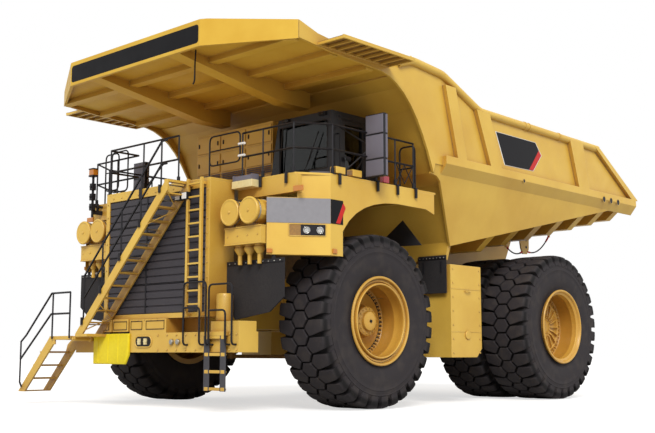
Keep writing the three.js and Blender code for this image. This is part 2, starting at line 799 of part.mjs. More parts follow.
// ---------------------------------------------------------------- wheels and steering
function tyre() {
  const half = TYRE_WIDTH / 2;
  const r = TYRE_RADIUS / Math.cos(Math.PI / ROUND);
  const side = [
    [BEAD_RADIUS, half - 85],
    [BEAD_RADIUS + 85, half - 70],
    [1250, half],
    [1600, half - 15],
    [r, TREAD_WIDTH / 2 - 44],
  ];
  const profile = [...side, ...side.map(([a, b]) => [a, -b]).reverse()];
  return turned([...profile, profile[0]]);
}

const SEAT = BEAD_RADIUS - 2 * GAP;
const REAR_HUB_DEPTH = 90;
const RIM_IN = SEAT - RIM_WALL;
const HUB_DEPTH = 260; // blind end of the front hub's bore, outwards from the wheel's middle

function frontRim() {
  const flange = TREAD_WIDTH / 2 + 50;
  const bore = FRONT_SPINDLE_RADIUS + RUNNING_GAP;
  return turned([
    [0, HUB_DEPTH + 60],
    [240, HUB_DEPTH + 60],
    [270, HUB_DEPTH],
    [330, 150],
    [720, 150],
    [RIM_IN, 260],
    [RIM_IN, flange],
    [RIM_FLANGE_RADIUS, flange],
    [SEAT, flange - 60],
    [SEAT, -flange + 60],
    [RIM_FLANGE_RADIUS, -flange],
    [RIM_IN, -flange],
    [RIM_IN, 60],
    [300, 60],
    [300, -80],
    [bore, -80],
    [bore, HUB_DEPTH],
    [0, HUB_DEPTH],
  ]);
}

function rearRim() {
  const flange = TREAD_WIDTH / 2 + 80;
  const inner = -DUAL_SPACING - flange;
  const bore = REAR_SPINDLE_RADIUS + REAR_RUNNING_GAP;
  return turned([
    [0, 170],
    [600, 170],
    [640, 90],
    [RIM_IN, 110],
    [RIM_IN, flange],
    [RIM_FLANGE_RADIUS, flange],
    [SEAT, flange - 60],
    [SEAT, inner + 60],
    [RIM_FLANGE_RADIUS, inner],
    [RIM_IN, inner],
    [RIM_IN, 20],
    [640, 20],
    [600, -300],
    [bore, -300],
    [bore, REAR_HUB_DEPTH],
    [0, REAR_HUB_DEPTH],
  ]);
}

/** Knuckle about its kingpin, ground level at zero. */
function steeringKnuckle() {
  const out = FRONT_WHEEL_X - KINGPIN_X;
  const z = TYRE_RADIUS;
  const arm = [
    [-200, 0],
    [200, 0],
    [80, ARM_LENGTH + 80],
    [-80, ARM_LENGTH + 80],
  ];
  return join(
    bar([0, 0, 1850], [0, 0, STRUT_BORE_TOP - GAP], STRUT_ROD_RADIUS, 24),
    bar([0, 0, ARM_BOTTOM], [0, 0, 1900], 265, 18),
    bar([0, 0, z], [out - 130, 0, z], 280, 18),
    bar([out - 540, 0, z], [out - 160, 0, z], 600, 24),
    solidFrom(
      new THREE.CylinderGeometry(
        FRONT_SPINDLE_RADIUS - RUNNING_GAP,
        FRONT_SPINDLE_RADIUS - RUNNING_GAP,
        HUB_DEPTH + 150 - GAP,
        ROUND,
      )
        .rotateZ(Math.PI / 2)
        .translate(out - 150 + (HUB_DEPTH + 150 - GAP) / 2, 0, z),
    ),
    alongZ(arm, ARM_BOTTOM, ARM_BOTTOM + 110),
    bar([0, ARM_LENGTH, TRACK_ROD_Z - 60], [0, ARM_LENGTH, ARM_BOTTOM + 10], 50, PIN_SIDES),
  );
}

function trackRod() {
  const x = KINGPIN_X;
  const y = FRONT_AXLE_Y + ARM_LENGTH;
  const eyes = [-x, x].map((u) =>
    bar([u, y, TRACK_ROD_Z - 50], [u, y, ARM_BOTTOM - GAP], 110, PIN_SIDES),
  );
  const bores = [-x, x].map((u) =>
    bar([u, y, TRACK_ROD_Z - 70], [u, y, ARM_BOTTOM + 10], 50 + PIN_FIT, PIN_SIDES),
  );
  return cut(join(eyes, bar([-x, y, TRACK_ROD_Z], [x, y, TRACK_ROD_Z], 45, 12)), bores);
}

// ---------------------------------------------------------------- hoists
const HOIST_LENGTH = Math.hypot(HOIST_HEAD.y - HOIST_FOOT.y, HOIST_HEAD.z - HOIST_FOOT.z);

function hoistBarrel() {
  const body = join(
    bar([-100 + GAP, 0, 0], [100 - GAP, 0, 0], 120, 18),
    bar([0, 0, 0], [0, 0, 180], 90, 18),
    bar([0, 0, 150], [0, 0, HOIST.barrelTop], HOIST.barrel, 18),
  );
  const bore = bar([0, 0, 210], [0, 0, HOIST.barrelTop + 50], HOIST.stage + HOIST.gap, 18);
  return cut(body, bore, bar([-200, 0, 0], [200, 0, 0], HOIST.pin + PIN_FIT, PIN_SIDES));
}

function hoistStage() {
  const body = join(
    bar([0, 0, 220], [0, 0, HOIST.stageTop], HOIST.stage, 18),
    bar([0, 0, HOIST.barrelTop + 10], [0, 0, HOIST.stageTop], HOIST.stage + 20, 18),
  );
  return cut(body, bar([0, 0, 250], [0, 0, HOIST.stageTop + 50], HOIST.rod + HOIST.gap, 18));
}

function hoistRod() {
  const eye = bar([-90, 0, HOIST_LENGTH], [90, 0, HOIST_LENGTH], 110, 18);
  const body = join(bar([0, 0, 260], [0, 0, HOIST_LENGTH - 60], HOIST.rod, 18), eye);
  return cut(body, bar([-200, 0, HOIST_LENGTH], [200, 0, HOIST_LENGTH], HOIST.pin + PIN_FIT, PIN_SIDES));
}

// ---------------------------------------------------------------- tipping body
const sideInner = (z) => BODY_X - SIDE_SHEET - Math.max(0, SIDE_LEAN * (SIDE_BEND_Z - z));

function bodyFloor() {
  const strip = alongX(
    [
      [FLOOR_FRONT, floorZ(FLOOR_FRONT)],
      [FLOOR_TAIL, floorZ(FLOOR_TAIL)],
      [FLOOR_TAIL, floorZ(FLOOR_TAIL) + FLOOR_SHEET],
      [FLOOR_FRONT, floorZ(FLOOR_FRONT) + FLOOR_SHEET],
    ],
    -BODY_X,
    BODY_X,
  );
  const frontX = sideInner(floorZ(FLOOR_FRONT)) - 2 * GAP;
  const tailX = sideInner(Math.min(SIDE_BEND_Z, floorZ(FLOOR_TAIL))) - 2 * GAP;
  const plan = alongZ(
    [
      [-frontX, FLOOR_FRONT],
      [frontX, FLOOR_FRONT],
      [tailX, FLOOR_TAIL],
      [-tailX, FLOOR_TAIL],
    ],
    3000,
    6000,
  );
  const parts = [strip.intersect(plan)];
  const rib = (y, depth) => {
    const top = floorZ(y) + 55;
    const half = sideInner(floorZ(y)) - 150;
    return alongY(
      [
        [-half, top],
        [half, top],
        [half - 450, floorZ(y) - depth],
        [-half + 450, floorZ(y) - depth],
      ],
      y,
      y + 240,
    );
  };
  parts.push(rib(back(2800), 360));
  for (let i = 0; i < 7; i++) parts.push(rib(back(4500 + i * 1000), 330));
  const keel = [
    [back(2900), floorZ(back(2900)) + 30],
    [back(2900), 2950],
    [back(3050), RAIL_TOP + CLEAR],
    [back(7700), RAIL_TOP + CLEAR],
    [back(8000), 2740],
    [back(8400), 2760],
    [back(8450), 2950],
    [back(9500), floorZ(back(9500)) - 150],
    [back(9900), floorZ(back(9900)) + 30],
  ];
  const ears = [];
  for (const side of [1, -1]) {
    parts.push(alongX(keel, side * BODY_RAIL_IN, side * BODY_RAIL_OUT));
    for (const x of [HOIST_X - 140, HOIST_X + 100]) {
      const { y, z } = HOIST_HEAD;
      ears.push(
        alongX(
          [
            [y - 170, floorZ(y - 170) + 30],
            [y - 110, z - 130],
            [y + 110, z - 130],
            [y + 170, floorZ(y + 170) + 30],
          ],
          side * x,
          side * (x + 40),
        ),
      );
    }
  }
  const bore = PIVOT.pin + 2 * PIN_FIT;
  const pin = bar([-RAIL_OUT, PIVOT.y, PIVOT.z], [RAIL_OUT, PIVOT.y, PIVOT.z], bore, PIN_SIDES);
  return cut(join(parts, ears), pin);
}

function bodyFrontWall() {
  const wall = alongX(
    [
      [FLOOR_FRONT - 100, 3250],
      [FLOOR_FRONT - 2 * GAP, 3250],
      [FLOOR_FRONT - 2 * GAP, 3750],
      [back(2080), 4950],
      [back(1680), 5150],
      [back(1370), 5640],
      [back(1010), 6420],
      [back(590), 6870],
      [back(150), 7060],
      [back(150), 6960],
      [back(520), 6790],
      [back(900), 6350],
      [back(1250), 5600],
      [back(1580), 5070],
      [back(1980), 4870],
      [FLOOR_FRONT - 100, 3650],
    ],
    -BODY_X,
    BODY_X,
  );
  const [low, high] = [3200, 7100];
  const room = alongY(
    [
      [-sideInner(low) + GAP, low],
      [sideInner(low) - GAP, low],
      [sideInner(high) - GAP, SIDE_BEND_Z],
      [sideInner(high) - GAP, high],
      [-sideInner(high) + GAP, high],
      [-sideInner(high) + GAP, SIDE_BEND_Z],
    ],
    back(0),
    back(3000),
  );
  return wall.intersect(room);
}

function bodySide() {
  const upper = new THREE.Shape();
  upper.moveTo(back(-2760), 7100);
  upper.lineTo(back(-1900), 7020);
  upper.lineTo(back(-320), 6950);
  upper.quadraticCurveTo(back(750), 6820, back(1440), 5030);
  upper.lineTo(back(1500), SIDE_BEND_Z - 60);
  upper.lineTo(FLOOR_BEND, SIDE_BEND_Z - 10);
  upper.lineTo(back(10990), floorZ(back(10990)));
  upper.lineTo(back(11000), 5430);
  upper.lineTo(back(8820), 6670);
  upper.lineTo(back(3210), 6740);
  upper.lineTo(back(1770), 7330);
  upper.lineTo(back(670), 7430);
  upper.lineTo(back(-250), 7080);
  upper.lineTo(back(-2240), 7300);
  upper.lineTo(back(-2760), 7450);
  const lowerOutline = [
    [back(1440), 5030],
    [back(1500), SIDE_BEND_Z],
    [FLOOR_BEND, SIDE_BEND_Z],
    [FLOOR_FRONT - 100, floorZ(FLOOR_FRONT - 100)],
    [back(1830), 4900],
    [back(1660), 5000],
  ];
  const lean = new THREE.Matrix4().makeShear(0, 0, 0, 0, 0, 0);
  lean.set(1, 0, SIDE_LEAN, -SIDE_LEAN * SIDE_BEND_Z, 0, 1, 0, 0, 0, 0, 1, 0, 0, 0, 0, 1);
  const flat = alongX(lowerOutline, BODY_X - SIDE_SHEET, BODY_X);
  const lower = solidFrom(geometryFrom(flat).applyMatrix4(lean));
  const posts = [
    [[1790, 7050], [2170, 7050], [2570, 5440], [2220, 5440]],
    [[2990, 6700], [3510, 6700], [3980, 5440], [3530, 5440]],
    [[7220, 6660], [7890, 6660], [8170, 5440], [7630, 5440]],
    [[8560, 6660], [8840, 6640], [10960, 5440], [10600, 5440]],
  ].map((quad) =>
    alongX(
      quad.map(([y, z]) => [back(y), z]),
      BODY_X - 20,
      BODY_X + 100,
    ),
  );
  const shelf = alongY(
    [
      [BODY_X - 50, 5450],
      [BODY_X + 100, 5450],
      [BODY_X + 100, 5270],
      [BODY_X - 85, 5030],
      [BODY_X - 55, 5250],
    ],
    back(1780),
    back(10850),
  );
  const topRail = tube(
    [
      [BODY_X, back(210), 7222],
      [BODY_X, back(670), 7380],
      [BODY_X, back(1770), 7290],
      [BODY_X, back(3210), 6700],
      [BODY_X, back(8820), 6640],
    ],
    95,
    6,
  );
  // slatted guard tray beside the canopy
  const tray = { x: BODY_X + 700, front: back(-2260), rear: back(-100), z: 7060, bar: 40 };
  const slats = [
    box(tray.x - tray.bar, tray.x, tray.front, tray.rear, tray.z, tray.z + 70),
    box(BODY_X - 20, BODY_X + tray.bar, tray.front, tray.rear, tray.z, tray.z + 50),
  ];
  const count = 8;
  for (let i = 0; i <= count; i++) {
    const y = tray.front + (i * (tray.rear - tray.front - tray.bar)) / count;
    slats.push(box(BODY_X, tray.x, y, y + tray.bar, tray.z, tray.z + 50));
  }
  return join(alongX(upper, BODY_X - SIDE_SHEET, BODY_X), lower, posts, shelf, topRail, slats);
}

function canopy() {
  const frontX = 2236;
  const [front, corner, rear] = [back(-3740), back(-2775), back(150) - GAP];
  const sideX = BODY_X - SIDE_SHEET - GAP;
  const under = (y) => 7230 - ((y - front) * 240) / (rear - front);
  const plate = alongX(
    [
      [front, under(front)],
      [rear, under(rear)],
      [rear, under(rear) + 60],
      [front, under(front) + 60],
    ],
    -BODY_X,
    BODY_X,
  );
  const plan = alongZ(
    [
      [-frontX, front],
      [frontX, front],
      [sideX, corner],
      [sideX, rear],
      [-sideX, rear],
      [-sideX, corner],
    ],
    6800,
    7500,
  );
  const lipTop = alongZ(
    [
      [-frontX, front],
      [frontX, front],
      [BODY_X, corner],
      [BODY_X - 100, corner],
      [frontX - 20, front + 70],
      [-frontX + 20, front + 70],
      [-BODY_X + 100, corner],
      [-BODY_X, corner],
    ],
    7080,
    7620,
  );
  // the lip gets lower towards its corners
  const above = alongX(
    [
      [front - 10, 7620],
      [front + 75, 7620],
      [corner + 10, 7450],
      [corner + 10, 7800],
      [front - 10, 7800],
    ],
    -BODY_X - 10,
    BODY_X + 10,
  );
  const beam = (x) =>
    alongX(
      [
        [front + 60, 7090],
        [front + 60, under(front) + 20],
        [rear - 20, under(rear) + 20],
        [rear - 20, 6620],
        [back(-700), 6620],
      ],
      x - 170,
      x + 170,
    );
  const rib = (y) =>
    alongY(
      [
        [-sideX, under(y) + 50],
        [sideX, under(y) + 50],
        [sideX - 40, under(y) - 120],
        [-sideX + 40, under(y) - 120],
      ],
      y,
      y + 220,
    );
  return join(
    plate.intersect(plan),
    cut(lipTop, above),
    beam(-1350),
    beam(1350),
    [-2900, -1800, -700].map((d) => rib(back(d)).intersect(plan)),
  );
}

// ---------------------------------------------------------------- the truck as a scene graph
const chassis = new THREE.Group();
chassis.add(piece("frame_rails", frameRails(), paint));
chassis.add(piece("bumper", bumper(), paint));
chassis.add(piece("hood_shroud", hoodShroud(), paint));
chassis.add(piece("radiator_grille", radiatorGrille(), black));
const engine = box(-560, 560, back(-1900), back(1300), ENGINE_BOTTOM, 4100);
chassis.add(piece("engine_block", engine, iron));
chassis.add(piece("deck_platform", deckPlatform(), paint));
chassis.add(piece("cab_shell", cabShell(), black));
chassis.add(piece("cab_windows", cabWindows(), glass));
chassis.add(piece("cab_interior", cabInterior(), cloth));
chassis.add(
  piece("electrical_cabinet", box(-1900, 750, back(-300), back(600), DECK_TOP + GAP, 6400), paint),
);
chassis.add(piece("upper_stair", upperStair(), paint));
chassis.add(piece("stair_handrail", stairHandrail(), black));
chassis.add(piece("front_ladder", frontLadder(), paint));
chassis.add(piece("bumper_ladder", bumperLadder(), paint));
chassis.add(piece("deck_handrail_left", deckHandrailLeft(), black));
chassis.add(piece("deck_handrail_right", deckHandrailRight(), black));
chassis.add(piece("hydraulic_tank", sideTank(2600, back(2750), back(3950)), paint));
chassis.add(piece("fuel_tank", mirrored(sideTank(2300, back(2650), back(4250))), paint));
chassis.add(piece("rear_axle_housing", rearAxleHousing(), paint));
for (const [name, side] of SIDES) {
  chassis.add(piece("fender_" + name, onSide(fender(), side), paint));
  chassis.add(piece("mud_flap_" + name, onSide(mudFlap(), side), rubber));
  chassis.add(piece("air_cleaners_" + name, onSide(airCleaners(), side), paint));
}
truck.add(chassis);

const door = new THREE.Group();
door.add(piece("cab_door", cabDoor(), black));
door.add(piece("cab_door_window", cabDoorWindow(), glass));
truck.add(door);

const lower = new THREE.Group();
lower.add(piece("lower_stair", lowerStair(), paint));
lower.add(piece("lower_stair_handrail", lowerStairHandrail(), black));
truck.add(lower);

for (const [name, side] of SIDES) {
  const knuckle = new THREE.Group();
  knuckle.position.set(side * KINGPIN_X, FRONT_AXLE_Y, 0);
  knuckle.add(piece("steering_knuckle_" + name, onSide(steeringKnuckle(), side), iron));
  const wheel = new THREE.Group();
  wheel.position.set(side * (FRONT_WHEEL_X - KINGPIN_X), 0, TYRE_RADIUS);
  wheel.add(piece("front_tyre_" + name, tyre(), rubber));
  wheel.add(piece("front_rim_" + name, onSide(frontRim(), side), paint));
  knuckle.add(wheel);
  truck.add(knuckle);

  const twin = new THREE.Group();
  twin.position.set(side * REAR_OUTER_X, REAR_AXLE_Y, TYRE_RADIUS);
  twin.add(piece("rear_rim_" + name, onSide(rearRim(), side), paint));
  twin.add(piece("rear_outer_tyre_" + name, tyre(), rubber));
  const innerTyre = piece("rear_inner_tyre_" + name, tyre(), rubber);
  innerTyre.position.x = -side * DUAL_SPACING;
  twin.add(innerTyre);
  truck.add(twin);

  const hoist = new THREE.Group();
  hoist.position.set(side * HOIST_X, HOIST_FOOT.y, HOIST_FOOT.z);
  hoist.rotation.x = Math.atan2(HOIST_FOOT.y - HOIST_HEAD.y, HOIST_HEAD.z - HOIST_FOOT.z);
  hoist.add(piece("hoist_barrel_" + name, hoistBarrel(), paint));
  hoist.add(piece("hoist_stage_" + name, hoistStage(), steel));
  hoist.add(piece("hoist_rod_" + name, hoistRod(), steel));
  truck.add(hoist);
}
truck.add(piece("track_rod", trackRod(), iron));

const body = new THREE.Group();
body.add(piece("body_floor", bodyFloor(), paint));
body.add(piece("body_front_wall", bodyFrontWall(), paint));
body.add(piece("canopy", canopy(), paint));
for (const [name, side] of SIDES) body.add(piece("body_side_" + name, onSide(bodySide(), side), paint));
truck.add(body);

export default truck;
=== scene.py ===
"""Looks of a mining dump truck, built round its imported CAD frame.

Lengths are in metres in the truck's own frame: +Z is up, -Y is forward and +X is the truck's left.
"""

import logging
import math
from collections.abc import Sequence
from dataclasses import dataclass
from enum import Enum

import bmesh
import bpy
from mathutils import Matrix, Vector


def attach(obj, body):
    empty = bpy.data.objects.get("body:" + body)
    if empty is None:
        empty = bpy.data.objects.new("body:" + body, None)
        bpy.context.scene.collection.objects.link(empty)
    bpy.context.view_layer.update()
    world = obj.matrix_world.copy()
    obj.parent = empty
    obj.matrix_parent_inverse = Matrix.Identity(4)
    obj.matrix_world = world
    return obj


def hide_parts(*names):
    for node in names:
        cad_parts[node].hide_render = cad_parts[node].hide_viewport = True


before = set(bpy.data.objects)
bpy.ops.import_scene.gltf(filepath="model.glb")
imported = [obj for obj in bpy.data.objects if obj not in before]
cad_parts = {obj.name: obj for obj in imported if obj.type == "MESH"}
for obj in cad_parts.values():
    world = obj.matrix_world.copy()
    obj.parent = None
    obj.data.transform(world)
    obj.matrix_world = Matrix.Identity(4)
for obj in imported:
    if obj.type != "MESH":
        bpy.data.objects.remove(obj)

Point = tuple[float, float, float]
Pair = tuple[float, float]
Link = bpy.types.NodeSocket

LOG = logging.getLogger("truck")

FRONT_AXLE_Y = -3.63
REAR_AXLE_Y = 2.97
AXLE_Z = 1.793
DECK_Z = 4.64
SIDE_X = 4.0  # outer face of the body's side plates
DECK_EDGE = 3.8  # outer face of the deck's skirts
WHEEL_FACETS = 96
BEND_STEPS = 4
BEYOND = 1000.0  # farther than any point of the truck
CREASE = math.radians(34)  # edges sharper than this stay sharp
ROUNDED_FROM = math.radians(50)  # edges sharper than this are rounded off
SIDES = (("left", 1), ("right", -1))
OUTWARD, AHEAD, UP = (1, 0, 0), (0, -1, 0), (0, 0, 1)


def back(distance: float) -> float:
    """Returns the place so many metres behind the front axle."""
    return FRONT_AXLE_Y + distance


def on_circle(u: Vector, v: Vector, turn: float) -> Vector:
    """Returns the direction at an angle between two directions square to each other."""
    return u * math.cos(turn) + v * math.sin(turn)


# ------------------------------------------------------------------ finishes
def linear(hex_colour: str) -> tuple[float, float, float, float]:
    """Turns an sRGB hex colour to linear light.

    Args:
        hex_colour: Six hex digits after a hash.

    Returns:
        Red, green, blue and an alpha of one.
    """
    parts = [int(hex_colour[i : i + 2], 16) / 255 for i in (1, 3, 5)]
    red, green, blue = (c / 12.92 if c <= 0.04045 else ((c + 0.055) / 1.055) ** 2.4 for c in parts)
    return red, green, blue, 1.0


def add(
    tree: bpy.types.NodeTree, kind: str, values: dict[str | int, object] | None = None
) -> bpy.types.Node:
    """Adds a node.

    Args:
        tree: The material's nodes.
        kind: Blender's name of the node.
        values: Numbers, settings and feeding sockets, by input or by property.

    Returns:
        The new node.
    """
    made = tree.nodes.new(kind)
    for key, value in (values or {}).items():
        if isinstance(value, Link):
            tree.links.new(value, made.inputs[key])
        elif isinstance(key, int) or key in made.inputs:
            made.inputs[key].default_value = value
        else:
            setattr(made, key, value)
    return made


# Sockets of a colour mix: its share, its two colours, and the colour that comes out.
SHARE, FIRST, SECOND, MIXED = 0, 6, 7, 2


class Nodes:
    """The nodes of a finish, each given by the socket that comes out of it."""

    def __init__(self, tree: bpy.types.NodeTree) -> None:
        """Starts from the surface point in the truck's frame."""
        self.tree = tree
        self.place = add(tree, "ShaderNodeTexCoord").outputs["Object"]

    def noise(self, scale: float, detail: float) -> Link:
        """Returns noise, by its scale per metre and its detail."""
        values = {"Scale": scale, "Detail": detail, "Vector": self.place}
        return add(self.tree, "ShaderNodeTexNoise", values).outputs["Fac"]

    def spread(self, value: Link, reach: Pair, to: Pair = (0.0, 1.0)) -> Link:
        """Maps a number from one reach to another.

        Args:
            value: The number.
            reach: The two ends that it comes from.
            to: The two ends that they become.

        Returns:
            The mapped number.
        """
        values = {"Value": value, "From Min": reach[0], "From Max": reach[1]}
        values |= {"To Min": to[0], "To Max": to[1]}
        return add(self.tree, "ShaderNodeMapRange", values).outputs["Result"]

    def mix(self, share: Link, first: Link | str, second: str) -> Link:
        """Mixes two colours.

        Args:
            share: How much of the second one shows.
            first: A colour from a socket, or in hex.
            second: The other colour, in hex.

        Returns:
            The mixed colour.
        """
        values = {"data_type": "RGBA", SHARE: share, SECOND: linear(second)}
        values[FIRST] = linear(first) if isinstance(first, str) else first
        return add(self.tree, "ShaderNodeMix", values).outputs[MIXED]

    def maths(self, operation: str, first: Link, second: Link | float) -> Link:
        """Returns the outcome of a sum on two numbers."""
        values = {"operation": operation, 0: first, 1: second}
        return add(self.tree, "ShaderNodeMath", values).outputs["Value"]

    def vectors(self, operation: str, first: Link, second: Link | Point | None = None) -> Link:
        """Works a sum on one or two vectors.

        Args:
            operation: Blender's name of the sum.
            first: A vector.
            second: Another one, where the sum takes two.

        Returns:
            The number that a length or a dot product gives, and otherwise the vector.
        """
        values = {"operation": operation, 0: first}
        if second is not None:
            values[1] = second
        outputs = add(self.tree, "ShaderNodeVectorMath", values).outputs
        return outputs["Value" if operation in ("LENGTH", "DOT_PRODUCT") else "Vector"]

    def edge(self, radius: float) -> Link:
        """Returns the surface's direction with its edges rounded by a radius."""
        return add(self.tree, "ShaderNodeBevel", {"samples": 4, "Radius": radius}).outputs["Normal"]

    def relief(self, height: Link, strength: float, depth: float, edge: Link) -> Link:
        """Raises a surface.

        Args:
            height: What raises it.
            strength: How much of the relief shows.
            depth: The height of the relief.
            edge: The direction of the surface beneath.

        Returns:
            The direction of the raised surface.
        """
        values = {"Strength": strength, "Distance": depth, "Height": height, "Normal": edge}
        return add(self.tree, "ShaderNodeBump", values).outputs["Normal"]


class Slot(Enum):
    """The record's material slots."""

    PAINT = "paint"
    BLACK = "black_paint"
    GEAR = "running_gear"
    IRON = "engine_iron"
    CHROME = "rod_chrome"
    GLASS = "window_glass"
    TRIM = "cab_trim"
    FLAP = "flap_rubber"
    TYRE = "tyre_rubber"


class Finish:
    """A named material, made at its first use, and the slot that it carries."""

    name: str
    slot: Slot

    def material(self) -> bpy.types.Material:
        """Returns the material, which is made once."""
        made = bpy.data.materials.get(self.name)
        if made is None:
            made = bpy.data.materials.new(self.name)
            made.use_nodes = True
            tree = made.node_tree
            tree.nodes.clear()
            shader = add(tree, "ShaderNodeBsdfPrincipled", self.dress(Nodes(tree)))
            add(tree, "ShaderNodeOutputMaterial", {"Surface": shader.outputs["BSDF"]})
        return made

    def dress(self, nodes: Nodes) -> dict[str, object]:
        """Returns what the shader's inputs get."""
        raise NotImplementedError


@dataclass(frozen=True)
class MachineEnamel(Finish):
    """Two-pack machine enamel, sprayed on plate steel.

    The film gives a soft gloss, slow waves where the plate has pulled at its welds, and
    haul-road dust that settles low down; its colour also holds painted brown shade in sheltered
    places and a painted highlight, mixed with wear, along the edges.
    """

    name: str = "machine_enamel_sprayed"
    colour: str = "#E3BA4C"
    deep: str = "#D8AB40"
    # colour of the painted shade in sheltered places
    painted_shade: str = "#A06C28"
    # pale edge colour: a painted highlight, broken into chips of wear
    edge: str = "#F6DF9C"
    dust: str = "#C09A5C"
    roughness: float = 0.38
    dusty: float = 0.3
    dust_top: float = 3.4
    shine: float = 0.5
    coat: float = 0.15
    film: tuple[Point, Point, float] | None = None  # centre, half size and corner of a sign film
    film_colour: str = "#0F0E11"
    slot: Slot = Slot.PAINT

    def dress(self, nodes: Nodes) -> dict[str, object]:
        """Mixes colour, gloss and relief.

        Args:
            nodes: The material's nodes.

        Returns:
            What the shader's inputs get.
        """
        # spray passes and panels of slightly other tone, about a metre across
        tone = nodes.spread(nodes.noise(0.9, 5.0), (0.38, 0.66))
        colour = nodes.mix(tone, self.colour, self.deep)
        # dust lies thickest near the ground, in clouds of about 0.3 m
        place = add(nodes.tree, "ShaderNodeSeparateXYZ", {"Vector": nodes.place}).outputs
        low = nodes.spread(place["Z"], (0.3, self.dust_top), (self.dusty, 0.0))
        clouds = nodes.noise(3.3, 6.0)
        colour = nodes.mix(nodes.maths("MULTIPLY", low, clouds), colour, self.dust)
        # painted shade: where ambient occlusion finds a surface sheltered, its colour turns brown
        sky = add(nodes.tree, "ShaderNodeAmbientOcclusion", {"samples": 6, "Distance": 1.1})
        closed = nodes.spread(sky.outputs["AO"], (0.35, 0.95), (0.75, 0.0))
        colour = nodes.mix(closed, colour, self.painted_shade)
        # edges are rounded by 12 mm, and a painted highlight broken by chips of wear makes them
        # paler
        edge = nodes.edge(0.012)
        flat = add(nodes.tree, "ShaderNodeNewGeometry").outputs["Normal"]
        rub = nodes.spread(nodes.vectors("DOT_PRODUCT", edge, flat), (0.9, 0.995), (0.55, 0.0))
        edge_highlight_and_wear = nodes.maths("MULTIPLY", rub, nodes.noise(14.0, 3.0))
        colour = nodes.mix(edge_highlight_and_wear, colour, self.edge)
        if self.film:
            colour = self.lay_film(nodes, place["Y"], colour)
        gloss = (self.roughness - 0.06, self.roughness + 0.22)
        return {
            "Base Color": colour,
            "Roughness": nodes.spread(clouds, (0.0, 1.0), gloss),
            "Normal": nodes.relief(nodes.noise(1.7, 2.0), 0.35, 0.012, edge),
            "Specular IOR Level": self.shine,
            "Coat Weight": self.coat,
            "Coat Roughness": 0.2,
        }

    def lay_film(self, nodes: Nodes, along: Link, under: Link) -> Link:
        """Lays a plain dark sign film with round corners on the front of the plate.

        Args:
            nodes: The material's nodes.
            along: The surface point's place along the truck.
            under: The colour of the enamel beneath.

        Returns:
            The colour with the film.
        """
        centre, half, corner = self.film
        inner = (half[0] - corner, BEYOND, half[2] - corner)
        size = nodes.vectors("ABSOLUTE", nodes.vectors("SUBTRACT", nodes.place, centre))
        clear = nodes.vectors("MAXIMUM", nodes.vectors("SUBTRACT", size, inner), (0.0, 0.0, 0.0))
        inside = nodes.maths("LESS_THAN", nodes.vectors("LENGTH", clear), corner)
        front = nodes.maths("LESS_THAN", along, centre[1] + half[1])
        return nodes.mix(nodes.maths("MULTIPLY", inside, front), under, self.film_colour)


@dataclass(frozen=True)
class Grained(Finish):
    """A finish of one material with two tones and a grain, for coats, mouldings and castings."""

    name: str
    colour: str
    other: str
    roughness: float
    grain_mm: float  # size of the grain that shows
    relief_mm: float = 0.3
    metallic: float = 0.0
    coat: float = 0.0
    shine: float = 0.5  # specular level, lower on dull black films
    slot: Slot = Slot.PAINT

    def dress(self, nodes: Nodes) -> dict[str, object]:
        """Mixes colour, gloss and relief.

        Args:
            nodes: The material's nodes.

        Returns:
            What the shader's inputs get.
        """
        grain = nodes.noise(1000 / self.grain_mm / 2, 4.0)
        broad = nodes.noise(1.6, 5.0)
        share = nodes.spread(nodes.maths("MULTIPLY", grain, broad), (0.12, 0.42))
        gloss = (max(0.02, self.roughness - 0.08), min(1.0, self.roughness + 0.1))
        return {
            "Base Color": nodes.mix(share, self.colour, self.other),
            "Roughness": nodes.spread(broad, (0.0, 1.0), gloss),
            "Normal": nodes.relief(grain, 0.5, self.relief_mm / 1000, nodes.edge(0.006)),
            "Metallic": self.metallic,
            "Specular IOR Level": self.shine,
            "Coat Weight": self.coat,
        }


@dataclass(frozen=True)
class TyreRubber(Finish):
    """Carbon-black tyre rubber, moulded, with road dust in its pores.

    It scatters light broadly, so that blocks read by their shade, and dust greys the shoulders.
    """

    name: str = "tyre_rubber_moulded"
    colour: str = "#312D2F"
    dust: str = "#4A433E"
    # painted shade of the groove floors
    groove_shade: str = "#100E0F"
    axle_y: float = FRONT_AXLE_Y
    slot: Slot = Slot.TYRE

    def dress(self, nodes: Nodes) -> dict[str, object]:
        """Mixes colour, gloss and relief.

        Args:
            nodes: The material's nodes.

        Returns:
            What the shader's inputs get.
        """
        share = nodes.spread(nodes.noise(4.0, 8.0), (0.48, 0.78), (0.0, 0.5))
        colour = nodes.mix(share, self.colour, self.dust)
        # the groove floors are darkened: painted shade, where light hardly reaches
        arm = nodes.vectors("SUBTRACT", nodes.place, (0.0, self.axle_y, AXLE_Z))
        reach = nodes.vectors("LENGTH", nodes.vectors("MULTIPLY", arm, (0.0, 1.0, 1.0)))
        out = nodes.spread(reach, (1.6, 1.66))
        under = nodes.spread(reach, (1.715, 1.772), (0.9, 0.0))
        # pores of about 1 mm, drawn at 12 mm so that they show
        pores = nodes.noise(42.0, 3.0)
        return {
            "Base Color": nodes.mix(nodes.maths("MULTIPLY", out, under), colour, self.groove_shade),
            "Roughness": 0.72,
            "Specular IOR Level": 0.25,
            "Normal": nodes.relief(pores, 0.4, 0.003, nodes.edge(0.008)),
        }


@dataclass(frozen=True)
class ClearSheet(Finish):
    """Glass or clear polycarbonate, floated or moulded, with a slight tint."""

    name: str
    colour: str
    roughness: float = 0.03
    index: float = 1.5
    slot: Slot = Slot.GLASS

    def dress(self, nodes: Nodes) -> dict[str, object]:
        """Mixes tint, clearness and a thin haze of dust.

        Args:
            nodes: The material's nodes.

        Returns:
            What the shader's inputs get.
        """
        return {
            "Base Color": linear(self.colour),
            "Roughness": nodes.spread(nodes.noise(2.4, 5.0), (0.4, 0.8), (self.roughness, 0.14)),
            "Transmission Weight": 1.0,
            "IOR": self.index,
        }


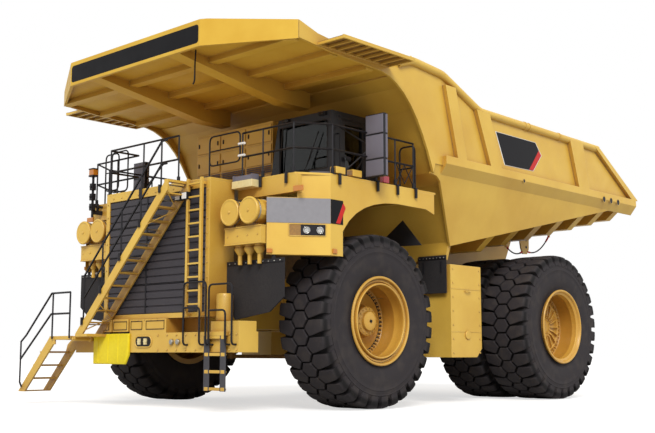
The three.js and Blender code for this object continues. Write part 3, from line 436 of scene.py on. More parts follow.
# What finishes of one kind share.
BLACK = {"slot": Slot.BLACK}
METAL = {"metallic": 1.0, "slot": Slot.CHROME}
FLAP = {"slot": Slot.FLAP}
TRIM = {"slot": Slot.TRIM}
LENS = {"coat": 0.5, "slot": Slot.GLASS}

ENAMEL = MachineEnamel()
# The canopy carries a plain dark film on its upright lip.
CANOPY_ENAMEL = MachineEnamel(
    name="machine_enamel_with_sign_film",
    shine=0.12,
    coat=0.0,
    film=((0.0, -7.37, 7.34), (2.2, 0.03, 0.19), 0.07),
)
BODY_ENAMEL = MachineEnamel(name="machine_enamel_tipping_body", dusty=0.12, dust_top=7.0)
RIM_ENAMEL = MachineEnamel(
    name="machine_enamel_wheel", colour="#DFAF44", deep="#C89634", dusty=0.35, roughness=0.26
)
# Sprayed over cast steel: the sand grain of the casting shows through the film.
GEAR_ENAMEL = Grained("enamel_on_cast_steel", "#A87A34", "#7F5E32", 0.5, 24.0, 1.2)
ENGINE_ENAMEL = Grained("enamel_on_cast_iron", "#8A6B36", "#5E4A2C", 0.55, 30.0, 1.5)
# Powder coat, baked: an even satin black with a faint orange peel.
POWDER_COAT = Grained(
    "black_powder_coat_baked", "#1D1C1F", "#29272A", 0.42, 10.0, 0.25, shine=0.2, **BLACK
)
CAB_COAT = Grained(
    "black_cab_enamel_sprayed", "#19181B", "#232124", 0.3, 14.0, 0.2, shine=0.3, **BLACK
)
GRILLE_COAT = Grained(
    "black_radiator_coat_sprayed", "#3B383D", "#464245", 0.55, 18.0, 0.4, shine=0.3, **BLACK
)
# Hard chrome, ground and polished: mirror-bright along the rod.
HARD_CHROME = Grained("hard_chrome_polished", "#D8D8DA", "#C4C4C8", 0.12, 60.0, 0.02, **METAL)
ZINC = Grained("zinc_plated_steel", "#B9B7B0", "#8F8C86", 0.38, 9.0, 0.2, **METAL)
LAMP_BOWL = Grained("aluminised_reflector", "#E8E8E6", "#DADAD8", 0.15, 30.0, 0.02, **METAL)
# Sheet rubber, calendered: dull dark grey with faint cloth marks.
SHEET_RUBBER = Grained(
    "sheet_rubber_calendered", "#282628", "#343131", 0.8, 12.0, 0.6, shine=0.25, **FLAP
)
GREY_RUBBER = Grained("grey_belt_rubber_moulded", "#47464B", "#3C3A3E", 0.75, 12.0, 0.6, **FLAP)
FRONT_RUBBER = TyreRubber()
REAR_RUBBER = TyreRubber(name="tyre_rubber_moulded_rear", axle_y=REAR_AXLE_Y)
# Mirror housing of glass-filled nylon, moulded: even mid grey, slightly rough.
GREY_NYLON = Grained("grey_nylon_moulded", "#716D77", "#67636C", 0.5, 6.0, shine=0.3, **BLACK)
CAB_TRIM = Grained("abs_trim_moulded", "#222124", "#2C2A2D", 0.6, 4.0, 0.4, shine=0.3, **TRIM)
SEAT_CLOTH = Grained("seat_cloth_woven", "#35353B", "#4A4850", 0.95, 5.0, 1.0, **TRIM)
# Sign films of cast vinyl, cut and rolled on: flat colour areas with a light gloss.
BLACK_FILM = Grained(
    "black_vinyl_film_rolled", "#141316", "#19181B", 0.35, 40.0, 0.05, shine=0.12, **BLACK
)
RED_FILM = Grained("red_vinyl_film_rolled", "#D0211C", "#BE1C18", 0.35, 40.0, 0.05, shine=0.3)
WHITE_FILM = Grained("white_vinyl_film_rolled", "#F1EFEA", "#E6E2DA", 0.35, 40.0, 0.05)
GREY_FILM = Grained("grey_vinyl_film_rolled", "#8C8A8E", "#848286", 0.4, 40.0, 0.05)
# A sheet cover, pressed and coated lemon: brighter and greener than the enamel round it.
LEMON_COVER = Grained("lemon_coated_sheet_pressed", "#F2DC1E", "#E8CE12", 0.45, 30.0, 0.4)
CREAM_COAT = Grained("cream_enamel_sprayed", "#E9D9A4", "#DCC98E", 0.45, 30.0, 0.2)
# Lamp lenses of dyed polycarbonate over a diffuser: even colour under a wet gloss.
AMBER = Grained("amber_polycarbonate_moulded", "#D08222", "#B96E18", 0.2, 12.0, 0.2, **LENS)
RED_LENS = Grained("red_polycarbonate_moulded", "#B01A2C", "#941424", 0.2, 12.0, 0.2, **LENS)
CLEAR_LENS = ClearSheet("clear_polycarbonate_moulded", "#F4F4F2", 0.05)
WINDOW = ClearSheet("tinted_glass_floated", "#5A645F", 0.02, 1.38)


# ------------------------------------------------------------------ meshes
def basis(axis: Sequence[float]) -> tuple[Vector, Vector, Vector]:
    """Returns the unit axis and two directions square to it."""
    n = Vector(axis).normalized()
    helper = Vector(UP) if abs(n.z) < 0.9 else Vector((0, 1, 0))
    u = n.cross(helper).normalized()
    return n, u, n.cross(u)


def rounded(points: Sequence[Point], bend: float, closed: bool = False) -> list[Point]:
    """Replaces the corners of a line by arcs.

    Args:
        points: The line's corners.
        bend: How far before and behind a corner the arc begins.
        closed: Whether the last point joins the first.

    Returns:
        The points of the smooth line.
    """
    ps = [Vector(p) for p in points]
    line: list[Point] = []
    for i, p in enumerate(ps):
        if not closed and i in (0, len(ps) - 1):
            line.append(tuple(p))
            continue
        a, b = ps[i - 1], ps[(i + 1) % len(ps)]
        first = p + (a - p).normalized() * min(bend, (a - p).length * 0.48)
        last = p + (b - p).normalized() * min(bend, (b - p).length * 0.48)
        for k in range(BEND_STEPS + 1):
            t = k / BEND_STEPS
            line.append(tuple(first * (1 - t) ** 2 + p * (2 * t * (1 - t)) + last * t * t))
    return line


class Maker:
    """Gathers closed shapes in one mesh and makes a piece of them.

    Coordinates are those of the left side; a side of -1 mirrors the finished mesh to the right.
    """

    def __init__(self, side: int = 1) -> None:
        """Starts with an empty mesh."""
        self.bm = bmesh.new()
        self.side = side

    def loft(self, rings: Sequence[Sequence[Point]], around: bool = False) -> "Maker":
        """Skins rings of equal length.

        Args:
            rings: The rings in order.
            around: Whether the last ring joins the first, which otherwise both get a cap.

        Returns:
            The maker, so that calls can follow each other.
        """
        rows = [[self.bm.verts.new(p) for p in ring] for ring in rings]
        pairs = list(zip(rows, rows[1:]))
        if around:
            pairs.append((rows[-1], rows[0]))
        for a, b in pairs:
            for i, corner in enumerate(a):
                j = (i + 1) % len(a)
                self.bm.faces.new((corner, a[j], b[j], b[i]))
        if not around:
            self.bm.faces.new(rows[0][::-1])
            self.bm.faces.new(rows[-1])
        new = [v for row in rows for v in row]
        bmesh.ops.remove_doubles(self.bm, verts=new, dist=1e-6)
        return self

    def block(self, low: Point, high: Point) -> "Maker":
        """Adds a box between two corners."""
        (x0, y0, z0), (x1, y1, z1) = low, high
        return self.loft([[(x0, y0, z), (x1, y0, z), (x1, y1, z), (x0, y1, z)] for z in (z0, z1)])

    def prism(self, outline: Sequence[Pair], axis: str, start: float, end: float) -> "Maker":
        """Draws an outline out along an axis.

        Args:
            outline: Points in the other two axes, in the order x, y, z.
            axis: The axis, x, y or z.
            start: Where the prism begins.
            end: Where it ends.

        Returns:
            The maker.
        """
        turn = {"x": (2, 0, 1), "y": (0, 2, 1), "z": (0, 1, 2)}[axis]
        rings = [[tuple((u, v, w)[k] for k in turn) for u, v in outline] for w in (start, end)]
        return self.loft(rings)

    def tube(
        self, points: Sequence[Point], radius: float, sides: int = 10, closed: bool = False
    ) -> "Maker":
        """Adds a round bar along a line.

        Args:
            points: The line.
            radius: The bar's radius.
            sides: Facets round it.
            closed: Whether the line is a loop.

        Returns:
            The maker.
        """
        ps = [Vector(p) for p in points]
        count = len(ps)
        rings = []
        normal = None
        last = None
        for i, p in enumerate(ps):
            before = ps[i - 1] if i or closed else p
            after = ps[(i + 1) % count] if i < count - 1 or closed else p
            way = (after - before).normalized()
            if normal is None:
                normal = basis(way)[1]
            else:
                normal = last.rotation_difference(way) @ normal
            last = way
            other = way.cross(normal)
            turns = (2 * math.pi * k / sides for k in range(sides))
            rings.append([tuple(p + on_circle(normal, other, a) * radius) for a in turns])
        return self.loft(rings, around=closed)

    def rod(
        self,
        a: Point,
        b: Point,
        radius: float,
        sides: int = 16,
        end_radius: float | None = None,
    ) -> "Maker":
        """Adds a straight round bar, tapered where the end radius differs."""
        length = (Vector(b) - Vector(a)).length
        end = radius if end_radius is None else end_radius
        profile = [(0, 0), (radius, 0), (end, length), (0, length)]
        return self.turned(profile, a, Vector(b) - Vector(a), sides)

    def turned(
        self,
        profile: Sequence[Pair],
        centre: Point,
        axis: Sequence[float],
        sides: int = 64,
        closed: bool = False,
    ) -> "Maker":
        """Turns a profile of radius and distance round an axis.

        Args:
            profile: Pairs of radius and distance along the axis.
            centre: Where the distance is zero.
            axis: The axis.
            sides: Facets round it.
            closed: Whether the profile is a loop, as in a ring.

        Returns:
            The maker.
        """
        n, u, v = basis(axis)
        start = Vector(centre)
        rings = []
        for r, t in profile:
            turns = (2 * math.pi * k / sides for k in range(sides))
            rings.append([tuple(start + n * t + on_circle(u, v, a) * r) for a in turns])
        return self.loft(rings, around=closed)

    def bolt(self, at: Point, axis: Sequence[float], size: float, height: float) -> "Maker":
        """Adds a hexagon head with its washer, standing on a face."""
        profile = [
            (0, -0.002),
            (size * 1.3, -0.002),
            (size * 1.3, height * 0.2),
            (size, height * 0.22),
            (size, height * 0.85),
            (size * 0.8, height),
            (0, height),
        ]
        return self.turned(profile, at, axis, 6)

    def bolt_ring(
        self,
        centre: Point,
        axis: Sequence[float],
        radius: float,
        count: int,
        size: float,
        height: float,
    ) -> "Maker":
        """Adds bolts on a circle.

        Args:
            centre: The circle's centre, on the face.
            axis: Out of the face.
            radius: The circle's radius.
            count: How many bolts.
            size: A head's radius.
            height: A head's height.

        Returns:
            The maker.
        """
        _, u, v = basis(axis)
        for k in range(count):
            a = 2 * math.pi * (k + 0.5) / count
            at = Vector(centre) + on_circle(u, v, a) * radius
            self.bolt(tuple(at), axis, size, height)
        return self

    def bolt_row(
        self, a: Point, b: Point, count: int, axis: Sequence[float], size: float, height: float
    ) -> "Maker":
        """Adds bolts on a straight line, its ends included."""
        for k in range(count):
            at = Vector(a).lerp(Vector(b), k / max(1, count - 1))
            self.bolt(tuple(at), axis, size, height)
        return self

    def strip(self, a: Point, b: Point, across: Point, width: float, sheet: float) -> "Maker":
        """Adds a flat bar from a to b.

        Args:
            a: One end of its middle line.
            b: The other end.
            across: Direction of its width.
            width: Its width.
            sheet: Its thickness.

        Returns:
            The maker.
        """
        way = (Vector(b) - Vector(a)).normalized()
        u = Vector(across).normalized() * width / 2
        v = way.cross(u).normalized() * sheet / 2
        corners = (u + v, v - u, -u - v, u - v)
        return self.loft([[tuple(Vector(p) + c) for c in corners] for p in (a, b)])

    def make(
        self,
        name: str,
        finish: Finish,
        bevel: float = 0.0,
        body: str = "chassis",
        slot: Slot | None = None,
    ) -> bpy.types.Object:
        """Makes the piece.

        Args:
            name: The piece's name.
            finish: Its finish.
            bevel: Width of the rounding on its sharp edges.
            body: The CAD body that it moves with.
            slot: Not used.

        Returns:
            The new object.
        """
        if self.side < 0:
            bmesh.ops.scale(self.bm, vec=(-1, 1, 1), verts=self.bm.verts)
        bmesh.ops.recalc_face_normals(self.bm, faces=self.bm.faces)
        for face in self.bm.faces:
            face.smooth = True
        for edge in self.bm.edges:
            edge.smooth = len(edge.link_faces) == 2 and edge.calc_face_angle(math.pi) < CREASE
        mesh = bpy.data.meshes.new(name)
        self.bm.to_mesh(mesh)
        self.bm.free()
        mesh.materials.append(finish.material())
        piece = bpy.data.objects.new(name, mesh)
        bpy.context.scene.collection.objects.link(piece)
        if bevel:
            round_off = piece.modifiers.new("edges", "BEVEL")
            round_off.width = bevel
            round_off.segments = 2
            round_off.limit_method = "ANGLE"
            round_off.angle_limit = ROUNDED_FROM
            round_off.harden_normals = True
        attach(piece, body)
        LOG.info("%s rides on %s", name, body)
        return piece


# ------------------------------------------------------------------ wheels
@dataclass
class Tyre:
    """A radial rock tyre: six-sided blocks in the middle and heavy lugs over both shoulders."""

    name: str
    body: str
    stands_for: str
    centre: Point
    radius: float = AXLE_Z
    pitches: int = 32
    chamfer: float = 0.009
    skew: float = 0.16
    carcass: tuple[Pair, ...] = (
        (0.85, 0.54), (0.862, 0.552), (0.9, 0.558), (0.935, 0.556), (0.96, 0.566), (1.02, 0.585),
        (1.12, 0.609), (1.22, 0.621), (1.32, 0.624), (1.395, 0.62), (1.403, 0.6245),
        (1.425, 0.6245), (1.433, 0.617), (1.5, 0.611), (1.508, 0.617), (1.524, 0.616),
        (1.532, 0.604), (1.57, 0.59), (1.61, 0.56), (1.66, 0.53), (1.69, 0.45), (1.7, 0.2),
    )
    # distance from the middle, half width along the tread, top radius and root radius
    block: tuple[tuple[float, float, float, float], ...] = (
        (-0.192, 0.004, 1.78, 1.68), (-0.179, 0.022, 1.791, 1.68), (-0.095, 0.158, 1.792, 1.68),
        (0.0, 0.158, 1.793, 1.68), (0.095, 0.158, 1.792, 1.68), (0.179, 0.022, 1.791, 1.68),
        (0.192, 0.004, 1.78, 1.68),
    )
    lug: tuple[tuple[float, float, float, float], ...] = (
        (0.144, 0.004, 1.779, 1.68), (0.157, 0.022, 1.79, 1.68), (0.252, 0.156, 1.789, 1.68),
        (0.36, 0.15, 1.787, 1.67), (0.44, 0.138, 1.785, 1.66), (0.52, 0.126, 1.781, 1.63),
        (0.572, 0.118, 1.768, 1.58), (0.6, 0.113, 1.73, 1.55), (0.614, 0.108, 1.64, 1.53),
        (0.612, 0.104, 1.585, 1.52),
    )

    def at(self, along: float, across: float, radius: float) -> Point:
        """Returns a point by its way round the tread, across it and from the axle."""
        turn = along / self.radius
        x, y, z = self.centre
        return x + across, y + radius * math.sin(turn), z + radius * math.cos(turn)

    def stud(
        self,
        maker: Maker,
        middle: float,
        stations: Sequence[tuple[float, float, float, float]],
        side: int,
    ) -> None:
        """Adds one block of the tread.

        Args:
            maker: What gathers the mesh.
            middle: The block's place round the tread.
            stations: Its sections.
            side: 1 for the left shoulder, -1 for the right.
        """
        rings = []
        for across, half, top, root in stations:
            cut = min(self.chamfer, half * 0.6)
            shift = middle + self.skew * max(0.0, abs(across) - 0.246)
            outline = (
                (-half, root),
                (-half, top - cut),
                (cut - half, top),
                (0.0, top + half * half / (2 * self.radius)),
                (half - cut, top),
                (half, top - cut),
                (half, root),
            )
            ring = [self.at(shift + s, across * side, min(r, self.radius)) for s, r in outline]
            rings.append(ring)
        maker.loft(rings)

    def build(self) -> None:
        """Moulds the tyre."""
        half = [(r, u) for r, u in self.carcass]
        profile = half + [(r, -u) for r, u in reversed(half)]
        maker = Maker().turned(profile, self.centre, OUTWARD, WHEEL_FACETS, closed=True)
        pitch = 2 * math.pi * self.radius / self.pitches
        for k in range(self.pitches):
            self.stud(maker, k * pitch, self.block, 1)
            for side in (1, -1):
                self.stud(maker, (k + 0.5) * pitch, self.lug, side)
        rubber = FRONT_RUBBER if self.centre[1] == FRONT_AXLE_Y else REAR_RUBBER
        tyre = maker.make(self.name, rubber, body=self.body)
        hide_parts(self.stands_for)


@dataclass
class Rim:
    """A three-piece steel rim on its hub, turned and welded, with its bolts."""

    name: str
    body: str
    stands_for: str
    side: int
    centre: Point
    profile: tuple[Pair, ...]
    bolts: tuple[tuple[float, int, float, float, float], ...]  # radius, count, face, size, height
    ribs: int = 0
    rib_reach: tuple[float, float, float, float] = (0.22, 0.57, 0.165, 0.215)

    def build(self) -> None:
        """Turns the rim and its hub, and sets the bolts."""
        maker = Maker(self.side).turned(self.profile, self.centre, OUTWARD, WHEEL_FACETS)
        x, y, z = self.centre
        r0, r1, t0, t1 = self.rib_reach
        for k in range(self.ribs):
            a = 2 * math.pi * k / self.ribs
            out = Vector((0, math.sin(a), math.cos(a)))
            aside = Vector((0, math.cos(a), -math.sin(a))) * 0.013
            rings = []
            for r, top in ((r0, t0 + 0.012), (r0 + 0.05, t1), (r1 - 0.06, t1), (r1, t0 + 0.006)):
                mid = Vector((x, y, z)) + out * r
                low, high = mid + Vector((t0 - 0.02, 0, 0)), mid + Vector((top, 0, 0))
                corners = (low - aside, high - aside, high + aside, low + aside)
                rings.append([tuple(p) for p in corners])
            maker.loft(rings)
        rim = maker.make(self.name, RIM_ENAMEL, body=self.body)
        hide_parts(self.stands_for)
        heads = Maker(self.side)
        for radius, count, face, size, height in self.bolts:
            heads.bolt_ring((x + face, y, z), OUTWARD, radius, count, size, height)
        heads.make(self.name + "_bolts", RIM_ENAMEL, body=self.body)


FRONT_PROFILE: tuple[Pair, ...] = (
    (0, 0.33), (0.09, 0.334), (0.16, 0.33), (0.192, 0.318), (0.205, 0.298), (0.212, 0.262),
    (0.235, 0.252), (0.29, 0.244), (0.304, 0.232), (0.31, 0.2), (0.322, 0.09), (0.36, 0.04),
    (0.44, 0.024), (0.6, 0.022), (0.715, 0.024), (0.732, 0.04), (0.738, 0.09), (0.738, 0.33),
    (0.732, 0.345), (0.732, 0.372), (0.74, 0.388), (0.744, 0.5), (0.738, 0.56), (0.734, 0.6),
    (0.738, 0.618), (0.752, 0.626), (0.768, 0.62), (0.778, 0.6), (0.782, 0.545), (0.8, 0.54),
    (0.806, 0.575), (0.838, 0.58), (0.842, 0.548), (0.856, 0.546), (0.864, 0.612), (0.874, 0.63),
    (0.892, 0.634), (0.91, 0.63), (0.92, 0.616), (0.921, 0.6), (0.912, 0.588), (0.88, 0.58),
    (0.849, 0.572), (0.849, -0.574), (0.921, -0.6), (0.921, -0.634), (0.799, -0.634),
    (0.799, -0.03), (0.3, -0.03), (0.3, -0.08), (0.2008, -0.08), (0.2008, 0.2), (0, 0.2),
)
REAR_PROFILE: tuple[Pair, ...] = (
    (0, 0.168), (0.1, 0.17), (0.155, 0.168), (0.168, 0.16), (0.172, 0.146), (0.19, 0.142),
    (0.215, 0.144), (0.23, 0.152), (0.57, 0.152), (0.585, 0.166), (0.61, 0.168), (0.622, 0.158),
    (0.628, 0.13), (0.655, 0.108), (0.775, 0.11), (0.788, 0.124), (0.792, 0.17), (0.793, 0.44),
    (0.788, 0.452), (0.788, 0.472), (0.794, 0.484), (0.8, 0.575), (0.822, 0.596), (0.846, 0.604),
    (0.856, 0.622), (0.862, 0.644), (0.874, 0.658), (0.892, 0.664), (0.91, 0.66), (0.92, 0.646),
    (0.921, 0.63), (0.912, 0.618), (0.88, 0.61), (0.849, 0.602), (0.849, -2.004), (0.921, -2.03),
    (0.921, -2.064), (0.799, -2.064), (0.799, 0.02), (0.64, 0.02), (0.6, -0.3), (0.4013, -0.3),
    (0.4013, 0.09), (0, 0.09),
)


@dataclass
class Wheels:
    """The six tyres on their two kinds of rim."""

    front_x: float = 3.067
    outer_x: float = 3.423
    inner_x: float = 2.023

    def build(self) -> None:
        """Builds the wheels of both sides."""
        for name, side in SIDES:
            front = f"front_wheel_{name}"
            rear = f"rear_wheels_{name}"
            places = (
                (f"tyre_front_{name}", front, f"front_tyre_{name}", self.front_x, FRONT_AXLE_Y),
                (f"tyre_outer_{name}", rear, f"rear_outer_tyre_{name}", self.outer_x, REAR_AXLE_Y),
                (f"tyre_inner_{name}", rear, f"rear_inner_tyre_{name}", self.inner_x, REAR_AXLE_Y),
            )
            for piece, body, node, x, y in places:
                Tyre(piece, body, node, (side * x, y, AXLE_Z)).build()
            Rim(
                f"rim_front_{name}",
                front,
                f"front_rim_{name}",
                side,
                (self.front_x, FRONT_AXLE_Y, AXLE_Z),
                FRONT_PROFILE,
                ((0.665, 48, 0.022, 0.024, 0.05), (0.262, 16, 0.246, 0.013, 0.024)),
            ).build()
            Rim(
                f"rim_rear_{name}",
                rear,
                f"rear_rim_{name}",
                side,
                (self.outer_x, REAR_AXLE_Y, AXLE_Z),
                REAR_PROFILE,
                ((0.715, 44, 0.109, 0.02, 0.04), (0.192, 10, 0.142, 0.012, 0.02)),
                ribs=16,
            ).build()
            self.ring(name, side)
            self.valve(name, side)

    def ring(self, name: str, side: int) -> None:
        """Adds a dark ring of painted shade between the front bolts, and the oil plug on the hub.
        """
        centre = (self.front_x, FRONT_AXLE_Y, AXLE_Z)
        # the dark ring paints the shade between the nuts of the bolt circle
        profile = [(0.628, 0.018), (0.702, 0.018), (0.7, 0.03), (0.63, 0.03)]
        dark = Maker(side).turned(profile, centre, OUTWARD, WHEEL_FACETS, closed=True)
        dark.make(f"bolt_shade_ring_{name}", POWDER_COAT, body=f"front_wheel_{name}")
        profile = [(0, 0.332), (0.034, 0.332), (0.034, 0.352), (0.018, 0.358), (0, 0.358)]
        plug = Maker(side).turned(profile, centre, OUTWARD, 6)
        plug.make(f"hub_plug_{name}", POWDER_COAT, 0.002, body=f"front_wheel_{name}")

    def valve(self, name: str, side: int) -> None:
        """Adds the inflating stem inside the front dish."""
        x, y, z = self.front_x, FRONT_AXLE_Y + 0.55, AXLE_Z + 0.5
        line = [(x + 0.01, y, z), (x + 0.2, y, z), (x + 0.38, y + 0.02, z + 0.02)]
        stem = Maker(side).tube(rounded(line, 0.04), 0.01, 8)
        stem.make(f"valve_stem_{name}", ZINC, body=f"front_wheel_{name}")


# ------------------------------------------------------------------ nose of the truck
@dataclass
class Radiator:
    """Slats and frame in the opening of the hood."""

    half: float = 1.64
    low: float = 1.95
    high: float = 4.45
    face: float = -6.592
    hood: float = -6.63
    rows: int = 16

    def build(self) -> None:
        """Hangs the slats and screws the frame round them."""
        slats = Maker()
        step = (self.high - self.low) / self.rows
        for k in range(self.rows):
            z = self.low + (k + 0.5) * step
            y0, y1 = self.face, self.face - 0.022
            outline = [
                (y0, z - step * 0.47),
                (y1, z - step * 0.4),
                (y1 - 0.004, z + step * 0.3),
                (y0, z + step * 0.44),
            ]
            slats.prism(outline, "x", -self.half + 0.01, self.half - 0.01)
        slats.make("radiator_slats", GRILLE_COAT, 0.003)
        frame_bars = Maker()
        for x in (-0.29, 1.02):
            frame_bars.block(
                (x - 0.022, self.face - 0.034, self.low), (x + 0.022, self.face, self.high)
            )
        for z in (self.low + 0.62, self.low + 1.26, self.low + 1.9):
            frame_bars.block(
                (-self.half, self.face - 0.03, z - 0.008), (self.half, self.face, z + 0.008)
            )
        frame_bars.make("radiator_dividers", POWDER_COAT, 0.003)
        bolts = Maker()
        y = self.hood
        for x in (-1.7, 1.7):
            bolts.bolt_row((x, y, 2.05), (x, y, 4.4), 9, AHEAD, 0.013, 0.018)
        bolts.bolt_row((-1.5, y, 4.52), (1.5, y, 4.52), 11, AHEAD, 0.013, 0.018)
        bolts.make("hood_bolts", ENAMEL)


@dataclass
class Bumper:
    """Fittings of the front bumper: tow eyes, cover, boxes, hoops and step ladder."""

    face: float = -6.68

    def build(self) -> None:
        """Builds the fittings."""
        self.slot_and_lugs()
        self.boxes()
        self.hoops()
        self.ladder()

    def slot_and_lugs(self) -> None:
        """Adds the framed oval slot, its inside a flat dark plate of painted shade, with two tow
        lugs in it.
        """
        y = self.face
        x0, x1, z0, z1 = -0.52, 0.04, 1.26, 1.49
        r = (z1 - z0) / 2
        outline = []
        for k in range(12):
            a = -math.pi / 2 + math.pi * k / 11
            outline.append((x1 - r + r * math.cos(a), z0 + r + r * math.sin(a)))
        for k in range(12):
            a = math.pi / 2 + math.pi * k / 11
            outline.append((x0 + r + r * math.cos(a), z0 + r + r * math.sin(a)))
        # painted shade: the slot's dark inside is a flat plate on the bumper face
        dark = Maker().prism(outline, "y", y - 0.004, y + 0.004)
        dark.make("tow_slot", POWDER_COAT)
        line = [(x, y - 0.006, z) for x, z in outline]
        ring = Maker().tube(line, 0.016, 8, closed=True)
        ring.make("tow_slot_rim", ENAMEL)
        lugs = Maker()
        for x in (-0.36, -0.15):
            lugs.block((x - 0.035, y - 0.05, 1.31), (x + 0.035, y, 1.44))
            lugs.rod((x - 0.045, y - 0.03, 1.375), (x + 0.045, y - 0.03, 1.375), 0.022)
        lugs.make("tow_lugs", CREAM_COAT, 0.008)
        rings = []
        for y_out, inset in ((y, 0.0), (y - 0.045, 0.0), (y - 0.06, 0.02)):
            a, b, low, high = -1.97 + inset, -0.69 - inset, 0.9 + inset, 1.55 - inset
            corners = ((a, low), (b - 0.12, low), (b, low + 0.2), (b, high), (a, high))
            rings.append([(x, y_out, z) for x, z in corners])
        Maker().loft(rings).make("lower_cover", LEMON_COVER, 0.012)
        folds = Maker()
        for x in (-1.78, -1.42, -1.06):
            folds.block((x - 0.012, y - 0.068, 0.94), (x + 0.012, y - 0.055, 1.51))
        folds.make("lower_cover_ribs", LEMON_COVER, 0.004)

    def boxes(self) -> None:
        """Adds the service boxes along the top and the bolts of the beam."""
        y = self.face
        covers = Maker()
        places = ((-1.72, -1.36), (-1.3, -0.76))
        for x0, x1 in places:
            covers.block((x0, y - 0.03, 1.585), (x1, y + 0.1, 1.86))
        covers.make("service_boxes", ENAMEL, 0.012)
        frames = Maker()
        for x0, x1 in ((-1.26, -0.79), (-1.67, -1.44), (-0.68, -0.3), (-0.16, 0.44)):
            depth = -0.034 if x0 < -0.7 else -0.004
            corners = ((x0, 1.63), (x1, 1.63), (x1, 1.8), (x0, 1.8))
            frames.tube([(x, y + depth, z) for x, z in corners], 0.008, 6, closed=True)
        frames.make("service_frames", POWDER_COAT)
        bolts = Maker()
        for z in (1.2, 1.5):
            bolts.bolt_row((0.25, y, z), (1.45, y, z), 5, AHEAD, 0.016, 0.022)
            bolts.bolt_row((2.46, y, z), (2.66, y, z), 2, AHEAD, 0.016, 0.022)
        bolts.bolt_row((-0.66, y, 1.82), (0.44, y, 1.82), 6, AHEAD, 0.01, 0.014)
        bolts.make("bumper_bolts", ENAMEL)
        plugs = Maker()
        for x in (0.72, 0.92):
            plugs.turned(
                [(0, 0), (0.055, 0), (0.055, 0.05), (0.04, 0.06), (0, 0.06)],
                (x, y, 1.36),
                AHEAD,
                20,
            )
        plugs.make("air_couplings", ZINC, 0.004)
        tank = Maker().turned(
            [(0, 1.76), (0.16, 1.76), (0.17, 1.79), (0.17, 2.26), (0.15, 2.3), (0, 2.31)],
            (2.0, -6.42, 0.0), UP,
            32,
        )
        tank.make("washer_bottle", ENAMEL, 0.006)

    def hoops(self) -> None:
        """Adds the bent hoops that one holds while climbing."""
        y = self.face - 0.12
        bars = Maker()
        for x0, x1, top in ((1.2, 1.88, 2.53), (1.97, 2.64, 2.46)):
            for height in (top, top - 0.5):
                end = x1 if height == top else x1 - (x1 - x0) * 0.28
                line = [(x0, y + 0.12, 1.3), (x0, y, 1.3)] if height == top else []
                line += [(x0, y, height), (end, y, height), (end, y, 1.3), (end, y + 0.12, 1.3)]
                bars.tube(rounded(line, 0.1), 0.02, 8)
        bars.make("climbing_hoops", POWDER_COAT)

    def ladder(self) -> None:
        """Hangs the lowest rungs on belt straps, which here are rigid; on the truck they give way
        to a rock.
        """
        straps = Maker()
        for x in (1.76, 2.24):
            straps.block((x, -6.735, 0.41), (x + 0.16, -6.715, 1.54))
        ladder = straps.make("ladder_straps", GREY_RUBBER, 0.006)
        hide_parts("bumper_ladder")
        rungs = Maker()
        for z in (0.45, 0.78, 1.11, 1.44):
            rungs.rod((1.78, -6.705, z), (2.38, -6.705, z), 0.022, 12)
            rungs.block((1.93, -6.738, z - 0.028), (2.23, -6.69, z + 0.03))
            for x in (1.84, 2.32):
                rungs.block((x - 0.055, -6.738, z - 0.035), (x + 0.055, -6.712, z + 0.035))
        rungs.block((1.74, -6.74, 1.47), (2.42, -6.68, 1.55))
        rungs.make("ladder_rungs", ENAMEL, 0.005)


@dataclass
class Stairs:
    """Lattices, tread noses and sockets of the stairs and the front ladder."""

    front: float = -7.23
    rear: float = -6.72

    def edge(self, z: float) -> float:
        """Returns the place of the upper stair's left edge at a height."""
        return z - 3.49

    def build(self) -> None:
        """Adds the fittings of each stair."""
        lattice = Maker()
        for low, high, steps in ((1.62, 2.16, 2), (3.74, 4.36, 2)):
            span = (high - low) / steps
            for k in range(steps):
                z0, z1 = low + k * span, low + (k + 1) * span
                ends = ((self.front, self.rear), (self.rear, self.front))[k % 2]
                a = (self.edge(z0) + 0.265, ends[0], z0)
                b = (self.edge(z1) + 0.265, ends[1], z1)
                lattice.tube([a, b], 0.014, 6)
        lattice.make("stair_lattice", ENAMEL)
        noses = Maker()
        for k in range(11):
            z = 1.75 + (4.5 - 1.75) * k / 10
            x = self.edge(z)
            noses.block((x + 0.01, self.front + 0.045, z - 0.012), (x + 0.035, -6.725, z + 0.014))
        noses.make("stair_tread_noses", ZINC, 0.003)
        posts = Maker()
        for k in range(5):
            z = 1.8 + 2.6 * k / 4
            posts.rod((self.edge(z), -7.235, z - 0.06), (self.edge(z), -7.235, z + 0.1), 0.034, 12)
        posts.make("stair_rail_sockets", POWDER_COAT)
        pads = Maker()
        for k in range(11):
            z = 2.1 + 0.27 * k
            if z < 4.6:
                pads.block((1.24, -6.757, z - 0.018), (1.58, -6.745, z + 0.018))
        pads.make("front_ladder_pads", ENAMEL, 0.003)
        profile = [(0, 0), (0.07, 0), (0.075, 0.05), (0.05, 0.09), (0, 0.1)]
        cap = Maker().turned(profile, (-2.04, -6.74, 1.45), AHEAD, 20)
        cap.make("stair_pivot_cap", ENAMEL, 0.004, body="swing_stair")


